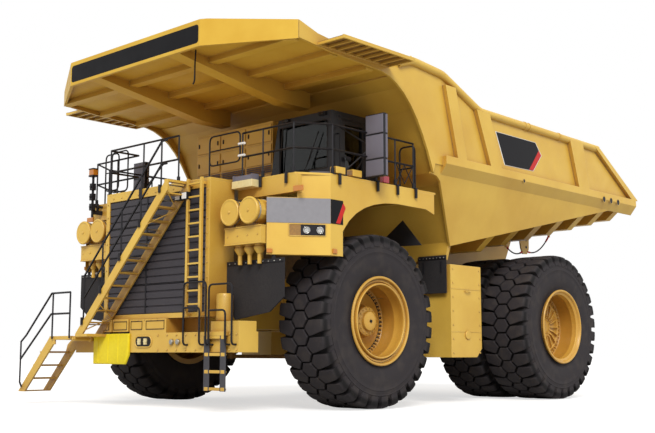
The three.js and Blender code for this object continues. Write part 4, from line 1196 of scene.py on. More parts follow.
@dataclass
class Cleaners:
    """Caps, clamps and ribs of the twin air cleaners on each side."""

    places: tuple[float, float] = (2.24, 2.79)
    radius: float = 0.24
    y0: float = -6.53
    y1: float = -5.89
    z: float = 3.88

    def build(self) -> None:
        """Builds both pairs."""
        for name, side in SIDES:
            caps = Maker(side)
            for x in self.places:
                r = self.radius + 0.028
                profile = [
                    (0, -0.03),
                    (r - 0.02, -0.03),
                    (r, -0.02),
                    (r, 0.012),
                    (r - 0.012, 0.024),
                    (r - 0.035, 0.026),
                    (r - 0.045, 0.018),
                    (0.03, 0.02), (0.026, 0.034), (0, 0.036),
                ]
                caps.turned(profile, (x, self.y0, self.z), AHEAD, 48)
            caps.make(f"air_cleaner_caps_{name}", ENAMEL)
            bands = Maker(side)
            for x in self.places:
                for y in (-6.44, -6.16):
                    ring = [
                        (self.radius - 0.004, -0.014),
                        (self.radius + 0.007, -0.014),
                        (self.radius + 0.007, 0.014),
                        (self.radius - 0.004, 0.014),
                    ]
                    bands.turned(ring, (x, y, self.z), (0, 1, 0), 48, closed=True)
            bands.make(f"air_cleaner_bands_{name}", ZINC)
            cups = Maker(side)
            for x in (2.23, 2.51, 2.79):
                cup = [(0, 3.05), (0.05, 3.05), (0.115, 3.15), (0.115, 3.19), (0.1, 3.2)]
                cups.turned(cup + [(0.1, 3.252), (0, 3.252)], (x, -6.23, 0), UP, 28)
            cups.block((1.985, -6.445, 3.235), (3.025, -6.015, 3.262))
            cups.block((1.985, -6.445, 3.568), (3.025, -6.015, 3.592))
            cups.make(f"dust_cups_{name}", ENAMEL, 0.004)
            bolts = Maker(side)
            bolts.bolt_row((2.08, -6.43, 3.41), (2.94, -6.43, 3.41), 4, AHEAD, 0.012, 0.016)
            bolts.make(f"dust_box_bolts_{name}", ENAMEL)


@dataclass
class Corner:
    """The lamp box at each front corner, with its band, slash, lamps and marker."""

    inner: Pair = (3.04, -6.29)
    outer: Pair = (3.8, -5.29)

    def on_face(self, share: float, z: float, out: float = 0.0) -> Point:
        """Returns a point on the slanted face, by its share of the width and its height."""
        (x0, y0), (x1, y1) = self.inner, self.outer
        length = math.hypot(x1 - x0, y1 - y0)
        normal = ((y1 - y0) / length, -(x1 - x0) / length)
        x = x0 + (x1 - x0) * share + normal[0] * out
        y = y0 + (y1 - y0) * share + normal[1] * out
        return x, y, z

    def plate(
        self, maker: Maker, outline: Sequence[Pair], out: float, sheet: float = 0.005
    ) -> None:
        """Lays a plate on the slanted face.

        Args:
            maker: What gathers the mesh.
            outline: Pairs of share and height.
            out: How far its outer face stands from the box.
            sheet: Its thickness.
        """
        rings = [[self.on_face(s, z, o) for s, z in outline] for o in (out - sheet, out)]
        maker.loft(rings)

    def build(self) -> None:
        """Dresses both boxes."""
        for name, side in SIDES:
            band = Maker(side)
            self.plate(band, ((-0.002, 3.64), (1.0, 3.64), (1.0, 4.13), (-0.002, 4.13)), 0.005)
            band.make(f"corner_band_{name}", GREY_FILM, 0.001)
            dark = Maker(side).block((3.797, -5.286, 3.645), (3.806, -4.93, 4.125))
            dark.make(f"corner_sign_{name}", BLACK_FILM, 0.001)
            slash = Maker(side)
            slash.prism(
                [(-5.14, 3.66), (-5.02, 3.66), (-4.86, 3.99), (-4.93, 4.08)], "x", 3.8, 3.809
            )
            slash.make(f"corner_slash_{name}", RED_FILM)
            self.lamps(name, side)

    def lamps(self, name: str, side: int) -> None:
        """Adds two headlamps in a recess drawn as flat plates of painted shade, and the side
        marker.
        """
        way = Vector(self.on_face(0, 0, 1)) - Vector(self.on_face(0, 0, 0))
        # painted shade: a darker plate stands for the shaded side wall of the recess
        shade = Maker(side)
        self.plate(shade, ((0.35, 3.395), (0.54, 3.395), (0.54, 3.615), (0.35, 3.615)), 0.004)
        shade.make(f"headlamp_reveal_shade_{name}", GEAR_ENAMEL)
        # painted shade: a black plate stands for the shaded inside of the recess
        well = Maker(side)
        self.plate(well, ((0.53, 3.395), (0.92, 3.395), (0.92, 3.615), (0.53, 3.615)), 0.006)
        well.make(f"headlamp_well_{name}", POWDER_COAT, 0.002)
        rim = Maker(side)
        corners = ((0.345, 3.39), (0.925, 3.39), (0.925, 3.62), (0.345, 3.62))
        line = [self.on_face(s, z, 0.006) for s, z in corners]
        rim.tube(rounded(line, 0.02, closed=True), 0.009, 8, closed=True)
        rim.make(f"headlamp_rim_{name}", ENAMEL)
        bowls, lenses = Maker(side), Maker(side)
        for share in (0.62, 0.83):
            at = self.on_face(share, 3.5, 0.006)
            bowls.turned(
                [(0, 0.0), (0.064, 0.0), (0.07, 0.03), (0.064, 0.034), (0.04, 0.008), (0, 0.004)],
                at,
                way,
                28,
            )
            lenses.turned([(0, 0.026), (0.062, 0.026), (0.058, 0.036), (0, 0.042)], at, way, 28)
        bowls.make(f"headlamp_bowls_{name}", LAMP_BOWL)
        lenses.make(f"headlamp_lenses_{name}", CLEAR_LENS)
        marker = Maker(side).block((3.79, -5.24, 3.06), (3.825, -5.12, 3.15))
        self.plate(marker, ((0.0, 3.05), (0.09, 3.05), (0.09, 3.13), (0.0, 3.13)), 0.03, 0.028)
        marker.block((3.37, -5.905, 4.25), (3.62, -5.86, 4.36))
        marker.make(f"amber_markers_{name}", AMBER, 0.008)
        vent = Maker(side)
        for k in range(4):
            low, high = 4.6 + 0.02 * k, 4.6 + 0.02 * k + 0.012
            self.plate(vent, ((0.68, low), (0.99, low), (0.99, high), (0.68, high)), -0.01, 0.2)
        vent.make(f"corner_vent_{name}", GREY_NYLON, 0.002)


@dataclass
class Flaps:
    """Fixings of the rubber flaps round the front wheels."""

    def build(self) -> None:
        """Adds the clamp bars with their bolts and the small rear flaps."""
        for name, side in SIDES:
            bar = Maker(side).block((1.78, -6.172, 2.87), (3.37, -6.158, 2.93))
            bar.make(f"flap_clamp_{name}", POWDER_COAT, 0.003)
            bolts = Maker(side)
            bolts.bolt_row((1.86, -6.172, 2.9), (3.3, -6.172, 2.9), 10, AHEAD, 0.012, 0.016)
            bolts.make(f"flap_bolts_{name}", ZINC)
            self.rear(name, side)

    def rear(self, name: str, side: int) -> None:
        """Hangs two rubber sheets behind the front wheel, one of them before the tank."""
        sheets = Maker(side).block((2.6, -0.975, 2.49), (3.4, -0.955, 3.36))
        shield = [(2.22, 3.6), (2.93, 4.1), (3.46, 3.5), (2.8, 3.52)]
        sheets.prism(shield, "y", -1.96, -1.94)
        sheets.make(f"rear_flaps_{name}", SHEET_RUBBER, 0.004)
        bars = Maker(side).block((2.6, -0.99, 3.27), (3.4, -0.974, 3.33))
        for x in (2.75, 3.25):
            bars.block((x - 0.03, -0.98, 2.95), (x + 0.03, -0.875, 3.22))
        bars.make(f"rear_flap_bars_{name}", POWDER_COAT, 0.003)
        bolts = Maker(side)
        bolts.bolt_row((2.66, -0.99, 3.3), (3.34, -0.99, 3.3), 8, AHEAD, 0.011, 0.014)
        bolts.make(f"rear_flap_bolts_{name}", ZINC)


# ------------------------------------------------------------------ deck and cab
@dataclass
class Deck:
    """Lamps, mast, sockets and steps round the deck."""

    posts_left: tuple[Pair, ...] = (
        (1.84, -5.84), (2.45, -5.84), (3.32, -5.84), (3.76, -5.19), (3.76, -3.88), (3.76, -3.23),
        (3.76, -2.61),
    )
    posts_right: tuple[Pair, ...] = (
        (0.7, -6.59), (-0.5, -6.59), (-1.7, -6.59), (-1.7, -5.84), (-2.5, -5.84), (-3.32, -5.84),
        (-3.76, -5.19), (-3.76, -3.88), (-3.76, -3.23), (-3.76, -2.61),
    )

    def build(self) -> None:
        """Builds the deck's fittings."""
        sockets = Maker()
        for x, y in self.posts_left + self.posts_right:
            sockets.rod((x, y, DECK_Z), (x, y, DECK_Z + 0.13), 0.036, 12)
            sockets.block((x - 0.06, y - 0.045, DECK_Z), (x + 0.06, y + 0.045, DECK_Z + 0.012))
        for side in (1, -1):
            for y in (-5.05, -3.88, -3.23, -2.61):
                x = side * (DECK_EDGE + 0.03)
                sockets.rod((x, y, 4.44), (x, y, DECK_Z + 0.02), 0.032, 12)
        for x, y in ((2.45, -5.91), (3.18, -5.91), (-2.5, -5.91), (-3.18, -5.91), (-0.5, -6.66)):
            sockets.rod((x, y, 4.44), (x, y, DECK_Z + 0.02), 0.032, 12)
        sockets.make("rail_sockets", POWDER_COAT)
        for name, side in SIDES:
            loop = [(3.72, -2.5, DECK_Z), (3.72, -2.5, 5.62), (3.3, -2.5, 5.62)]
            loop.append((3.3, -2.5, DECK_Z))
            gate = Maker(side).tube(rounded(loop, 0.12), 0.02, 8)
            gate.tube([(3.72, -2.5, 5.14), (3.3, -2.5, 5.14)], 0.018, 8)
            gate.make(f"rear_gate_{name}", POWDER_COAT)
        self.gates()
        self.work_lamps()
        self.step()
        self.mast()
        self.lattice()
        self.edge_lamps()

    def gates(self) -> None:
        """Adds the rounded gates of the front rails and their white clips."""
        gates, clips = Maker(), Maker()
        for left, right, y, bottom, top in (
            (0.8, 1.76, -5.84, 5.07, 5.7), (-3.04, -2.52, -5.8, 4.95, 5.82),
            (-2.68, -2.05, -5.88, 4.87, 5.82),
        ):
            loop = [(left, y, bottom), (left, y, top), (right, y, top), (right, y, bottom)]
            gates.tube(rounded(loop, 0.12, closed=True), 0.018, 8, closed=True)
            gates.rod((left, y, DECK_Z), (left, y, bottom + 0.2), 0.018, 8)
            middle = (bottom + top) / 2
            gates.rod((left, y, middle), (right, y, middle), 0.014, 8)
        for z in (5.18, 5.43):
            clips.rod((1.72, -5.84, z), (1.9, -5.84, z), 0.03, 12)
        gates.make("front_gates", POWDER_COAT)
        clips.make("gate_clips", WHITE_FILM, slot=Slot.BLACK)

    def work_lamps(self) -> None:
        """Adds the two white lamps under the deck's front edge."""
        cases, lenses, brackets = Maker(), Maker(), Maker()
        for x in (0.94, 1.15):
            cases.block((x - 0.085, -6.8, 4.22), (x + 0.085, -6.7, 4.38))
            lenses.block((x - 0.07, -6.812, 4.235), (x + 0.07, -6.795, 4.365))
            brackets.block((x - 0.02, -6.72, 4.28), (x + 0.02, -6.6, 4.32))
        cases.make("work_lamp_cases", POWDER_COAT, 0.01)
        lenses.make("work_lamp_lenses", WHITE_FILM, 0.01, slot=Slot.GLASS)
        brackets.make("work_lamp_brackets", POWDER_COAT)

    def step(self) -> None:
        """Adds the pale step plate beside the stair head with its louvre."""
        plate = Maker().block((1.8, -6.1, 4.44), (2.4, -5.87, 4.594))
        plate.make("step_plate", CREAM_COAT, 0.012)
        louvre = Maker()
        for k in range(5):
            y = -6.07 + 0.042 * k
            slat = [(y, 4.6), (y + 0.012, 4.6), (y + 0.03, 4.7), (y + 0.018, 4.7)]
            louvre.prism(slat, "x", 1.84, 2.36)
        for x in (1.82, 2.36):
            louvre.block((x, -6.09, 4.59), (x + 0.02, -5.88, 4.71))
        louvre.make("step_louvre", GREY_NYLON, 0.002)

    def lattice(self) -> None:
        """Adds the crossed bars in the rearmost panel of each side rail."""
        for name, side in SIDES:
            bars = Maker(side)
            for y in (-3.2, -2.92):
                bars.tube([(3.76, y, 4.72), (3.76, y + 0.29, 5.13)], 0.011, 6)
                bars.tube([(3.76, y + 0.29, 4.72), (3.76, y, 5.13)], 0.011, 6)
            bars.make(f"rail_lattice_{name}", POWDER_COAT)

    def edge_lamps(self) -> None:
        """Adds two boxed lamps on brackets at the left edge of the deck."""
        cases, lenses = Maker(), Maker()
        for x, y in ((3.66, -5.02), (3.66, -4.52)):
            cases.block((x, y - 0.14, 4.66), (x + 0.17, y + 0.14, 4.8))
            cases.block((x + 0.04, y - 0.05, 4.6), (x + 0.09, y + 0.05, 4.67))
            lenses.block((x + 0.015, y - 0.15, 4.675), (x + 0.155, y - 0.135, 4.785))
        cases.make("edge_lamp_cases", ENAMEL, 0.012)
        lenses.make("edge_lamp_lenses", CLEAR_LENS, 0.008)

    def mast(self) -> None:
        """Adds the lamp mast at the right of the stair, with its switch boxes and beacon."""
        x, y = -3.02, -6.16
        mast = Maker().rod((x, y, 4.3), (x, y, 5.3), 0.03, 16)
        mast.strip((x, y, 4.42), (x, -5.8, 4.42), UP, 0.1, 0.03)
        mast.strip((x, y, 4.56), (x, -5.8, 4.56), UP, 0.06, 0.03)
        for z in (4.46, 4.7, 4.94):
            mast.block((x - 0.055, y - 0.06, z), (x + 0.055, y + 0.05, z + 0.16))
            mast.rod((x, y - 0.06, z + 0.08), (x, y - 0.085, z + 0.08), 0.03, 14)
        mast.make("lamp_mast", POWDER_COAT, 0.006)
        beacon = Maker().block((x - 0.09, y - 0.07, 5.28), (x + 0.09, y + 0.07, 5.44))
        beacon.make("mast_beacon", AMBER, 0.02)
        base = Maker().block((x - 0.095, y - 0.075, 5.26), (x + 0.095, y + 0.075, 5.3))
        base.block((x - 0.095, y - 0.075, 5.43), (x + 0.095, y + 0.075, 5.46))
        base.make("mast_beacon_guard", POWDER_COAT, 0.006)


@dataclass
class Cabinet:
    """Doors, latches and vents of the electrical cabinet."""

    front: float = -3.93
    x0: float = -1.9
    x1: float = 0.75
    z0: float = 4.64
    z1: float = 6.4

    def build(self) -> None:
        """Hangs six doors with latches and grey vents."""
        doors, latches, vents = Maker(), Maker(), Maker()
        wide = (self.x1 - self.x0) / 3
        for k in range(3):
            a, b = self.x0 + k * wide + 0.03, self.x0 + (k + 1) * wide - 0.03
            for low, high in ((self.z0 + 0.12, 5.18), (5.42, 5.88), (5.94, self.z1 - 0.06)):
                doors.block((a, self.front - 0.022, low), (b, self.front, high))
                for x in (a + 0.07, b - 0.07):
                    y, z = self.front, (low + high) / 2
                    latches.block((x - 0.015, y - 0.04, z - 0.05), (x + 0.015, y - 0.02, z + 0.05))
            for n in range(4):
                z = 5.22 + 0.045 * n
                slat = [(self.front - 0.03, z), (self.front, z + 0.02), (self.front, z + 0.034)]
                vents.prism(slat, "x", a, b)
        doors.make("cabinet_doors", ENAMEL, 0.008)
        latches.make("cabinet_latches", POWDER_COAT, 0.004)
        vents.make("cabinet_vents", GREY_NYLON)


@dataclass
class Mirrors:
    """Grey mirror heads in three parts on both sides."""

    low: float = 4.7
    high: float = 6.0
    x0: float = 3.72
    x1: float = 4.2
    y0: float = -4.14
    y1: float = -4.02

    def build(self) -> None:
        """Builds both heads."""
        for name, side in SIDES:
            skin = Maker(side)
            cuts = (self.low, self.low + 0.36, self.low + 0.88, self.high)
            for z0, z1 in zip(cuts, cuts[1:]):
                rings = []
                shape = ((self.y0 - 0.012, 0.035), (self.y0 - 0.004, 0.008), (self.y1 + 0.02, 0.0))
                for y, inset in shape:
                    a, b = self.x0 - 0.004 + inset, self.x1 + 0.004 - inset
                    low, high = z0 + 0.006 + inset, z1 - 0.006 - inset
                    rings.append([(a, y, low), (b, y, low), (b, y, high), (a, y, high)])
                skin.loft(rings)
            skin.make(f"mirror_shells_{name}", GREY_NYLON, 0.014)
            glass = Maker(side)
            for z0, z1 in zip(cuts, cuts[1:]):
                glass.block(
                    (self.x0 + 0.04, self.y1 + 0.018, z0 + 0.05),
                    (self.x1 - 0.04, self.y1 + 0.024, z1 - 0.05),
                )
            glass.make(f"mirror_glasses_{name}", HARD_CHROME)
            struts = Maker(side)
            for z in (5.15, 5.62):
                struts.tube([(3.76, -3.99, z), (3.76, -3.88, z)], 0.016, 8)
            for end in ((3.1, -4.02, 4.66), (3.3, -4.6, 4.66), (2.95, -4.1, 5.9)):
                struts.tube([end, (3.8, -4.04, 5.35)], 0.016, 8)
            struts.tube([(3.8, -4.02, 5.0), (3.8, -4.02, 5.7)], 0.022, 8)
            struts.make(f"mirror_struts_{name}", POWDER_COAT)


@dataclass
class Cab:
    """Seals, wiper, roof lamps, grips and the operator's place."""

    front: float = -4.28

    def build(self) -> None:
        """Builds the cab's fittings."""
        self.seals()
        self.wiper()
        self.roof()
        self.operator_place()

    def seals(self) -> None:
        """Adds rubber seals round the windscreen and the rear window, and grab rails."""
        x0, x1, z0, z1 = 1.33, 2.78, 5.02, 6.06
        seal = Maker()
        y = self.front - 0.004
        line = [(x0 + 0.02, y, z0), (x1, y, z0), (x1, y, z1), (x0 + 0.1, y, z1)]
        seal.tube(rounded(line, 0.06, closed=True), 0.012, 8, closed=True)
        rear = [(1.4, -2.776, 5.22), (2.7, -2.776, 5.22), (2.7, -2.776, 6.06), (1.4, -2.776, 6.06)]
        seal.tube(rounded(rear, 0.06, closed=True), 0.012, 8, closed=True)
        seal.make("window_seals", SHEET_RUBBER)
        grips = Maker()
        for x, y in ((2.955, -4.12), (2.955, -2.9)):
            a, b = x - 0.05, x + 0.03
            line = [(a, y, 4.95), (b, y, 4.95), (b, y, 5.75), (a, y, 5.75)]
            grips.tube(rounded(line, 0.05), 0.014, 8)
        grips.make("cab_grab_rails", POWDER_COAT)
        handle = Maker().block((2.962, -3.9, 5.22), (2.985, -3.76, 5.26))
        handle.block((2.955, -3.91, 5.19), (2.966, -3.75, 5.29))
        handle.make("door_handle", POWDER_COAT, 0.004, body="door")

    def wiper(self) -> None:
        """Adds the wiper: arm, blade and motor cap."""
        y = self.front - 0.03
        wiper = Maker()
        wiper.rod((2.1, self.front, 4.94), (2.1, y - 0.01, 4.94), 0.028, 14)
        wiper.tube([(2.1, y, 4.94), (2.38, y, 5.5)], 0.009, 6)
        wiper.strip((2.22, y + 0.012, 5.16), (2.54, y + 0.012, 5.84), OUTWARD, 0.018, 0.012)
        wiper.make("wiper", POWDER_COAT)

    def roof(self) -> None:
        """Adds the roof's ribs and its lamps."""
        ribs = Maker()
        for x in (1.6, 1.95, 2.3, 2.65):
            ribs.block((x - 0.03, -4.1, 6.249), (x + 0.03, -2.95, 6.262))
        ribs.make("cab_roof_ribs", CAB_COAT, 0.006)
        lamps, glass = Maker(), Maker()
        for x in (1.55, 2.65):
            lamps.block((x - 0.09, -4.34, 6.16), (x + 0.09, -4.27, 6.24))
            glass.block((x - 0.075, -4.348, 6.172), (x + 0.075, -4.335, 6.228))
        lamps.make("cab_lamps", POWDER_COAT, 0.008)
        glass.make("cab_lamp_lenses", CLEAR_LENS, 0.006)

    def operator_place(self) -> None:
        """Adds steering wheel, console, display, seat cushion and back."""
        wheel = Maker()
        centre, tilt = Vector((2.0, -3.8, 5.49)), Vector((0, 0.45, 0.9)).normalized()
        _, u, v = basis(tilt)
        turns = (2 * math.pi * k / 32 for k in range(32))
        ring = [tuple(centre + on_circle(u, v, a) * 0.215) for a in turns]
        wheel.tube(ring, 0.017, 8, closed=True)
        for a in (0.5, 2.6, 4.7):
            rim = centre + on_circle(u, v, a) * 0.21
            wheel.tube([tuple(centre), tuple(rim)], 0.012, 6)
        wheel.turned([(0, -0.02), (0.05, -0.02), (0.045, 0.02), (0, 0.026)], centre, tilt, 20)
        wheel.make("steering_wheel", CAB_TRIM)
        outline = [(-4.19, 5.02), (-4.05, 5.02), (-3.97, 5.22), (-4.02, 5.3), (-4.19, 5.24)]
        panel = Maker().prism(outline, "x", 1.42, 2.8)
        panel.block((1.5, -4.05, 5.3), (1.86, -4.02, 5.54))
        panel.make("dash_panel", CAB_TRIM, 0.012)
        cushion = self.pad((2.0, -3.14, 5.2), (0.24, 0.25, 0.075))
        cushion.make("seat_cushion", SEAT_CLOTH)
        rest = self.pad((2.0, -2.925, 5.58), (0.22, 0.065, 0.3))
        rest.make("seat_back", SEAT_CLOTH)

    def pad(self, middle: Point, half: Point) -> Maker:
        """Sews a crowned pad whose sides pull in between its corners.

        Args:
            middle: The pad's middle.
            half: Half its size each way.

        Returns:
            The maker with the pad.
        """
        rows, around = 14, 40
        rings = []
        for i in range(rows + 1):
            t = math.pi * (i / rows - 0.5)
            ring = []
            for k in range(around):
                a = 2 * math.pi * k / around
                c, s = math.cos(a), math.sin(a)
                power = 0.42
                x = math.copysign(abs(c) ** power, c) * abs(math.cos(t)) ** 0.35
                y = math.copysign(abs(s) ** power, s) * abs(math.cos(t)) ** 0.35
                z = math.copysign(abs(math.sin(t)) ** 0.8, t)
                ring.append(
                    (middle[0] + half[0] * x, middle[1] + half[1] * y, middle[2] + half[2] * z)
                )
            rings.append(ring)
        return Maker().loft(rings)


# ------------------------------------------------------------------ body and tanks
@dataclass
class TippingBody:
    """Rails, seams, signs and fittings of the tipping body."""

    rail_radius: float = 0.0965
    rail: tuple[Pair, ...] = ((0.21, 7.222), (0.67, 7.38), (1.77, 7.29), (3.21, 6.7), (8.82, 6.64))

    def build(self) -> None:
        """Builds the fittings of both sides."""
        for name, side in SIDES:
            self.top_rail(name, side)
            self.sign(name, side)
            self.holes(name, side)
            self.lamp(name, side)
        self.canopy_fittings()

    def top_rail(self, name: str, side: int) -> None:
        """Adds the smooth top rail with its collars."""
        line = rounded([(SIDE_X, back(v), z) for v, z in self.rail], 0.14)
        rail = Maker(side).tube(line, self.rail_radius, 20)
        rail.make(f"top_rail_{name}", BODY_ENAMEL, body="dump_body")
        collars = Maker(side)
        for y in (1.5, 1.68, 3.12):
            share = (y - back(3.21)) / (back(8.82) - back(3.21))
            z = 6.7 - 0.06 * share
            ring = [(self.rail_radius - 0.01, -0.02), (self.rail_radius + 0.012, -0.02)]
            ring += [(self.rail_radius + 0.012, 0.02), (self.rail_radius - 0.01, 0.02)]
            collars.turned(ring, (SIDE_X, y, z), (0, 1, -0.0107), 24, closed=True)
        collars.make(f"rail_collars_{name}", BODY_ENAMEL, body="dump_body")

    def sign(self, name: str, side: int) -> None:
        """Lays the plain dark sign with its pale edge and red corner on the side plate."""
        outline = ((0.275, 6.335), (2.014, 6.336), (2.283, 6.045), (1.885, 5.61), (0.63, 5.589))
        middle = (1.42, 5.98)

        def grown(share: float) -> list[Pair]:
            """Returns the outline drawn out from its middle."""
            return [
                (middle[0] + (y - middle[0]) * share, middle[1] + (z - middle[1]) * share)
                for y, z in outline
            ]

        edge = Maker(side).prism(grown(1.03), "x", SIDE_X, SIDE_X + 0.004)
        edge.make(f"side_sign_edge_{name}", WHITE_FILM, body="dump_body")
        plate = Maker(side).prism(grown(1.0), "x", SIDE_X + 0.002, SIDE_X + 0.007)
        plate.make(f"side_sign_{name}", BLACK_FILM, body="dump_body")
        corner = [(1.7, 5.612), (1.882, 5.614), (2.276, 6.045), (2.17, 6.158)]
        slash = Maker(side).prism(corner, "x", SIDE_X + 0.006, SIDE_X + 0.01)
        slash.make(f"side_slash_{name}", RED_FILM, body="dump_body")

    def holes(self, name: str, side: int) -> None:
        """Draws the drain holes of the side shelf as dark discs of painted shade, with rims."""
        marks, rims = Maker(side), Maker(side)
        for y, r in ((5.317, 0.078), (5.714, 0.078), (6.119, 0.078), (1.3, 0.045)):
            at = (4.1, y, 5.27)
            # each hole is a flat dark disc: painted shade
            marks.turned([(0, 0), (r, 0), (r, 0.004), (0, 0.004)], at, OUTWARD, 24)
            ring = [(r - 0.003, -0.002), (r + 0.013, -0.002), (r + 0.011, 0.008), (r, 0.008)]
            rims.turned(ring, at, OUTWARD, 24, closed=True)
        marks.make(f"shelf_hole_shades_{name}", POWDER_COAT, body="dump_body")
        rims.make(f"shelf_hole_rims_{name}", BODY_ENAMEL, body="dump_body")

    def lamp(self, name: str, side: int) -> None:
        """Adds the red marker on the deck's side skirt."""
        lens = Maker(side).block((3.7, -3.66, 4.66), (3.8, -3.48, 4.8))
        lens.make(f"red_marker_{name}", RED_LENS, 0.004)

    def canopy_fittings(self) -> None:
        """Adds the canopy's hanger bar, the lamp cables, the tray sheets and the weld beads."""
        line = [(1.65, -6.97, 7.24), (1.65, -6.99, 6.9), (1.65, -6.99, 6.56), (1.6, -6.99, 6.5)]
        bar = Maker().tube(rounded(line, 0.05), 0.016, 8)
        bar.make("canopy_hanger", POWDER_COAT, body="dump_body")
        self.cable()
        for name, side in SIDES:
            tray = Maker(side).block((4.0, -5.87, 7.118), (4.68, -3.75, 7.129))
            tray.make(f"tray_sheet_{name}", GEAR_ENAMEL, body="dump_body")
            self.beads(name, side)

    def cable(self) -> None:
        """Hangs two lamp cables from the bracket under the floor's left edge."""
        plates, holes = Maker(), Maker()
        plates.prism(
            [(4.26, 4.7), (4.86, 4.83), (4.82, 4.0), (4.72, 3.87), (4.5, 3.86), (4.42, 4.02)],
            "x",
            1.98,
            2.02,
        )
        plates.prism([(5.86, 5.04), (6.02, 5.08), (5.98, 4.44), (5.9, 4.44)], "x", 1.98, 2.02)
        plates.prism([(3.61, 4.57), (3.77, 4.6), (3.73, 3.98), (3.65, 3.98)], "x", 1.98, 2.02)
        plates.make("cable_brackets", BODY_ENAMEL, 0.006, body="dump_body")
        # the bracket's two holes are flat black discs: painted shade
        for z in (4.06, 4.26):
            holes.rod((2.02, 4.68, z), (2.024, 4.68, z), 0.038, 16)
        holes.make("cable_bracket_hole_shades", BLACK_FILM, body="dump_body")
        self.hang("body_lamp_cable", (2.0, 4.72, 3.95), (2.0, 5.94, 4.48), 0.2)
        self.hang("body_lamp_cable_front", (2.0, 3.69, 4.02), (2.0, 4.5, 3.92), 0.12)

    def hang(self, name: str, start: Point, end: Point, sag: float) -> None:
        """Hangs one cable between two points, with a red sleeve at each end.

        Args:
            name: Name of the piece.
            start: Where the cable leaves its bracket, in metres.
            end: Where it ends, in metres.
            sag: How far its middle hangs below the chord, in metres.
        """
        count = 28
        line = []
        for k in range(count + 1):
            t = k / count
            line.append(Vector(start).lerp(Vector(end), t) - Vector((0, 0, 4 * sag * t * (1 - t))))
        path = [tuple(p) for p in line]
        hose = Maker().tube(path, 0.018, 12)
        cable = hose.make(name, SHEET_RUBBER, body="dump_body")
        sleeves = Maker().tube(path[:5], 0.026, 12).tube(path[-5:], 0.026, 12)
        sleeves.make(f"{name}_sleeves", RED_FILM, body="dump_body", slot=Slot.FLAP)

    def beads(self, name: str, side: int) -> None:
        """Lays weld beads along the posts and the shelf of a side, in a darker finish that paints
        shade along those joints.
        """
        beads = Maker(side)
        posts = (
            ((1.79, 7.05), (2.22, 5.44)),
            ((2.17, 7.05), (2.57, 5.44)),
            ((2.99, 6.7), (3.53, 5.44)),
            ((3.51, 6.7), (3.98, 5.44)),
            ((7.22, 6.62), (7.63, 5.44)),
            ((7.89, 6.62), (8.17, 5.44)),
            ((8.6, 6.6), (10.6, 5.44)),
            ((8.84, 6.6), (10.96, 5.44)),
        )
        for top, foot in posts:
            ends = [(SIDE_X + 0.002, back(v), z) for v, z in (top, foot)]
            beads.tube(ends, 0.013, 6)
        beads.tube([(SIDE_X + 0.002, -1.8, 5.452), (SIDE_X + 0.002, 7.15, 5.452)], 0.013, 6)
        # their darker finish is painted shade along the joints
        beads.make(f"weld_beads_shaded_{name}", GEAR_ENAMEL, body="dump_body")


@dataclass
class Tanks:
    """Bolts, caps, straps and handle of the two side tanks."""

    def build(self) -> None:
        """Dresses both tanks."""
        bolts = Maker()
        x = 3.45
        for y in (-0.8, 0.24):
            bolts.bolt_row((x, y, 1.14), (x, y, 3.05), 7, OUTWARD, 0.016, 0.02)
        bolts.make("tank_bolts_left", ENAMEL)
        handle = Maker()
        line = [(x + 0.004, -0.34, 2.55), (x + 0.05, -0.34, 2.55), (x + 0.05, -0.16, 2.55)]
        line += [(x + 0.004, -0.16, 2.55)]
        handle.tube(rounded(line, 0.03), 0.012, 8)
        lid = [(0, 0), (0.1, 0), (0.1, 0.02), (0.09, 0.03), (0, 0.03)]
        handle.turned(lid, (x, -0.25, 1.55), OUTWARD, 32)
        handle.make("tank_handle", ENAMEL, 0.003)
        seams = Maker()
        for z in (1.62, 2.6):
            seams.block((x - 0.002, -0.875, z - 0.008), (x + 0.006, 0.315, z + 0.008))
        seams.make("tank_seams_left", ENAMEL, 0.003)
        right = Maker(-1)
        for y in (-0.9, 0.54):
            right.bolt_row((x, y, 1.14), (x, y, 3.05), 7, OUTWARD, 0.016, 0.02)
        filler = [(0, 0), (0.09, 0), (0.09, 0.05), (0.07, 0.07), (0, 0.07)]
        right.turned(filler, (x, -0.7, 2.7), OUTWARD, 32)
        right.make("tank_bolts_right", ENAMEL)


@dataclass
class Hoists:
    """Gland nuts of the two hoist cylinders."""

    foot: Point = (1.25, 0.72, 1.4)
    head: Point = (1.25, 0.47, 3.4)

    def build(self) -> None:
        """Adds the glands, which move with their barrels."""
        foot = Vector(self.foot)
        way = (Vector(self.head) - foot).normalized()
        for name, side in SIDES:
            gland = [(0.1265, 1.655), (0.178, 1.655), (0.182, 1.665), (0.182, 1.695)]
            gland += [(0.172, 1.7), (0.1265, 1.7)]
            ring = Maker(side).turned(gland, foot, way, 40, closed=True)
            barrel = f"hoist_barrel_{name}"
            ring.make(f"hoist_gland_{name}", GEAR_ENAMEL, body=barrel, slot=Slot.GEAR)


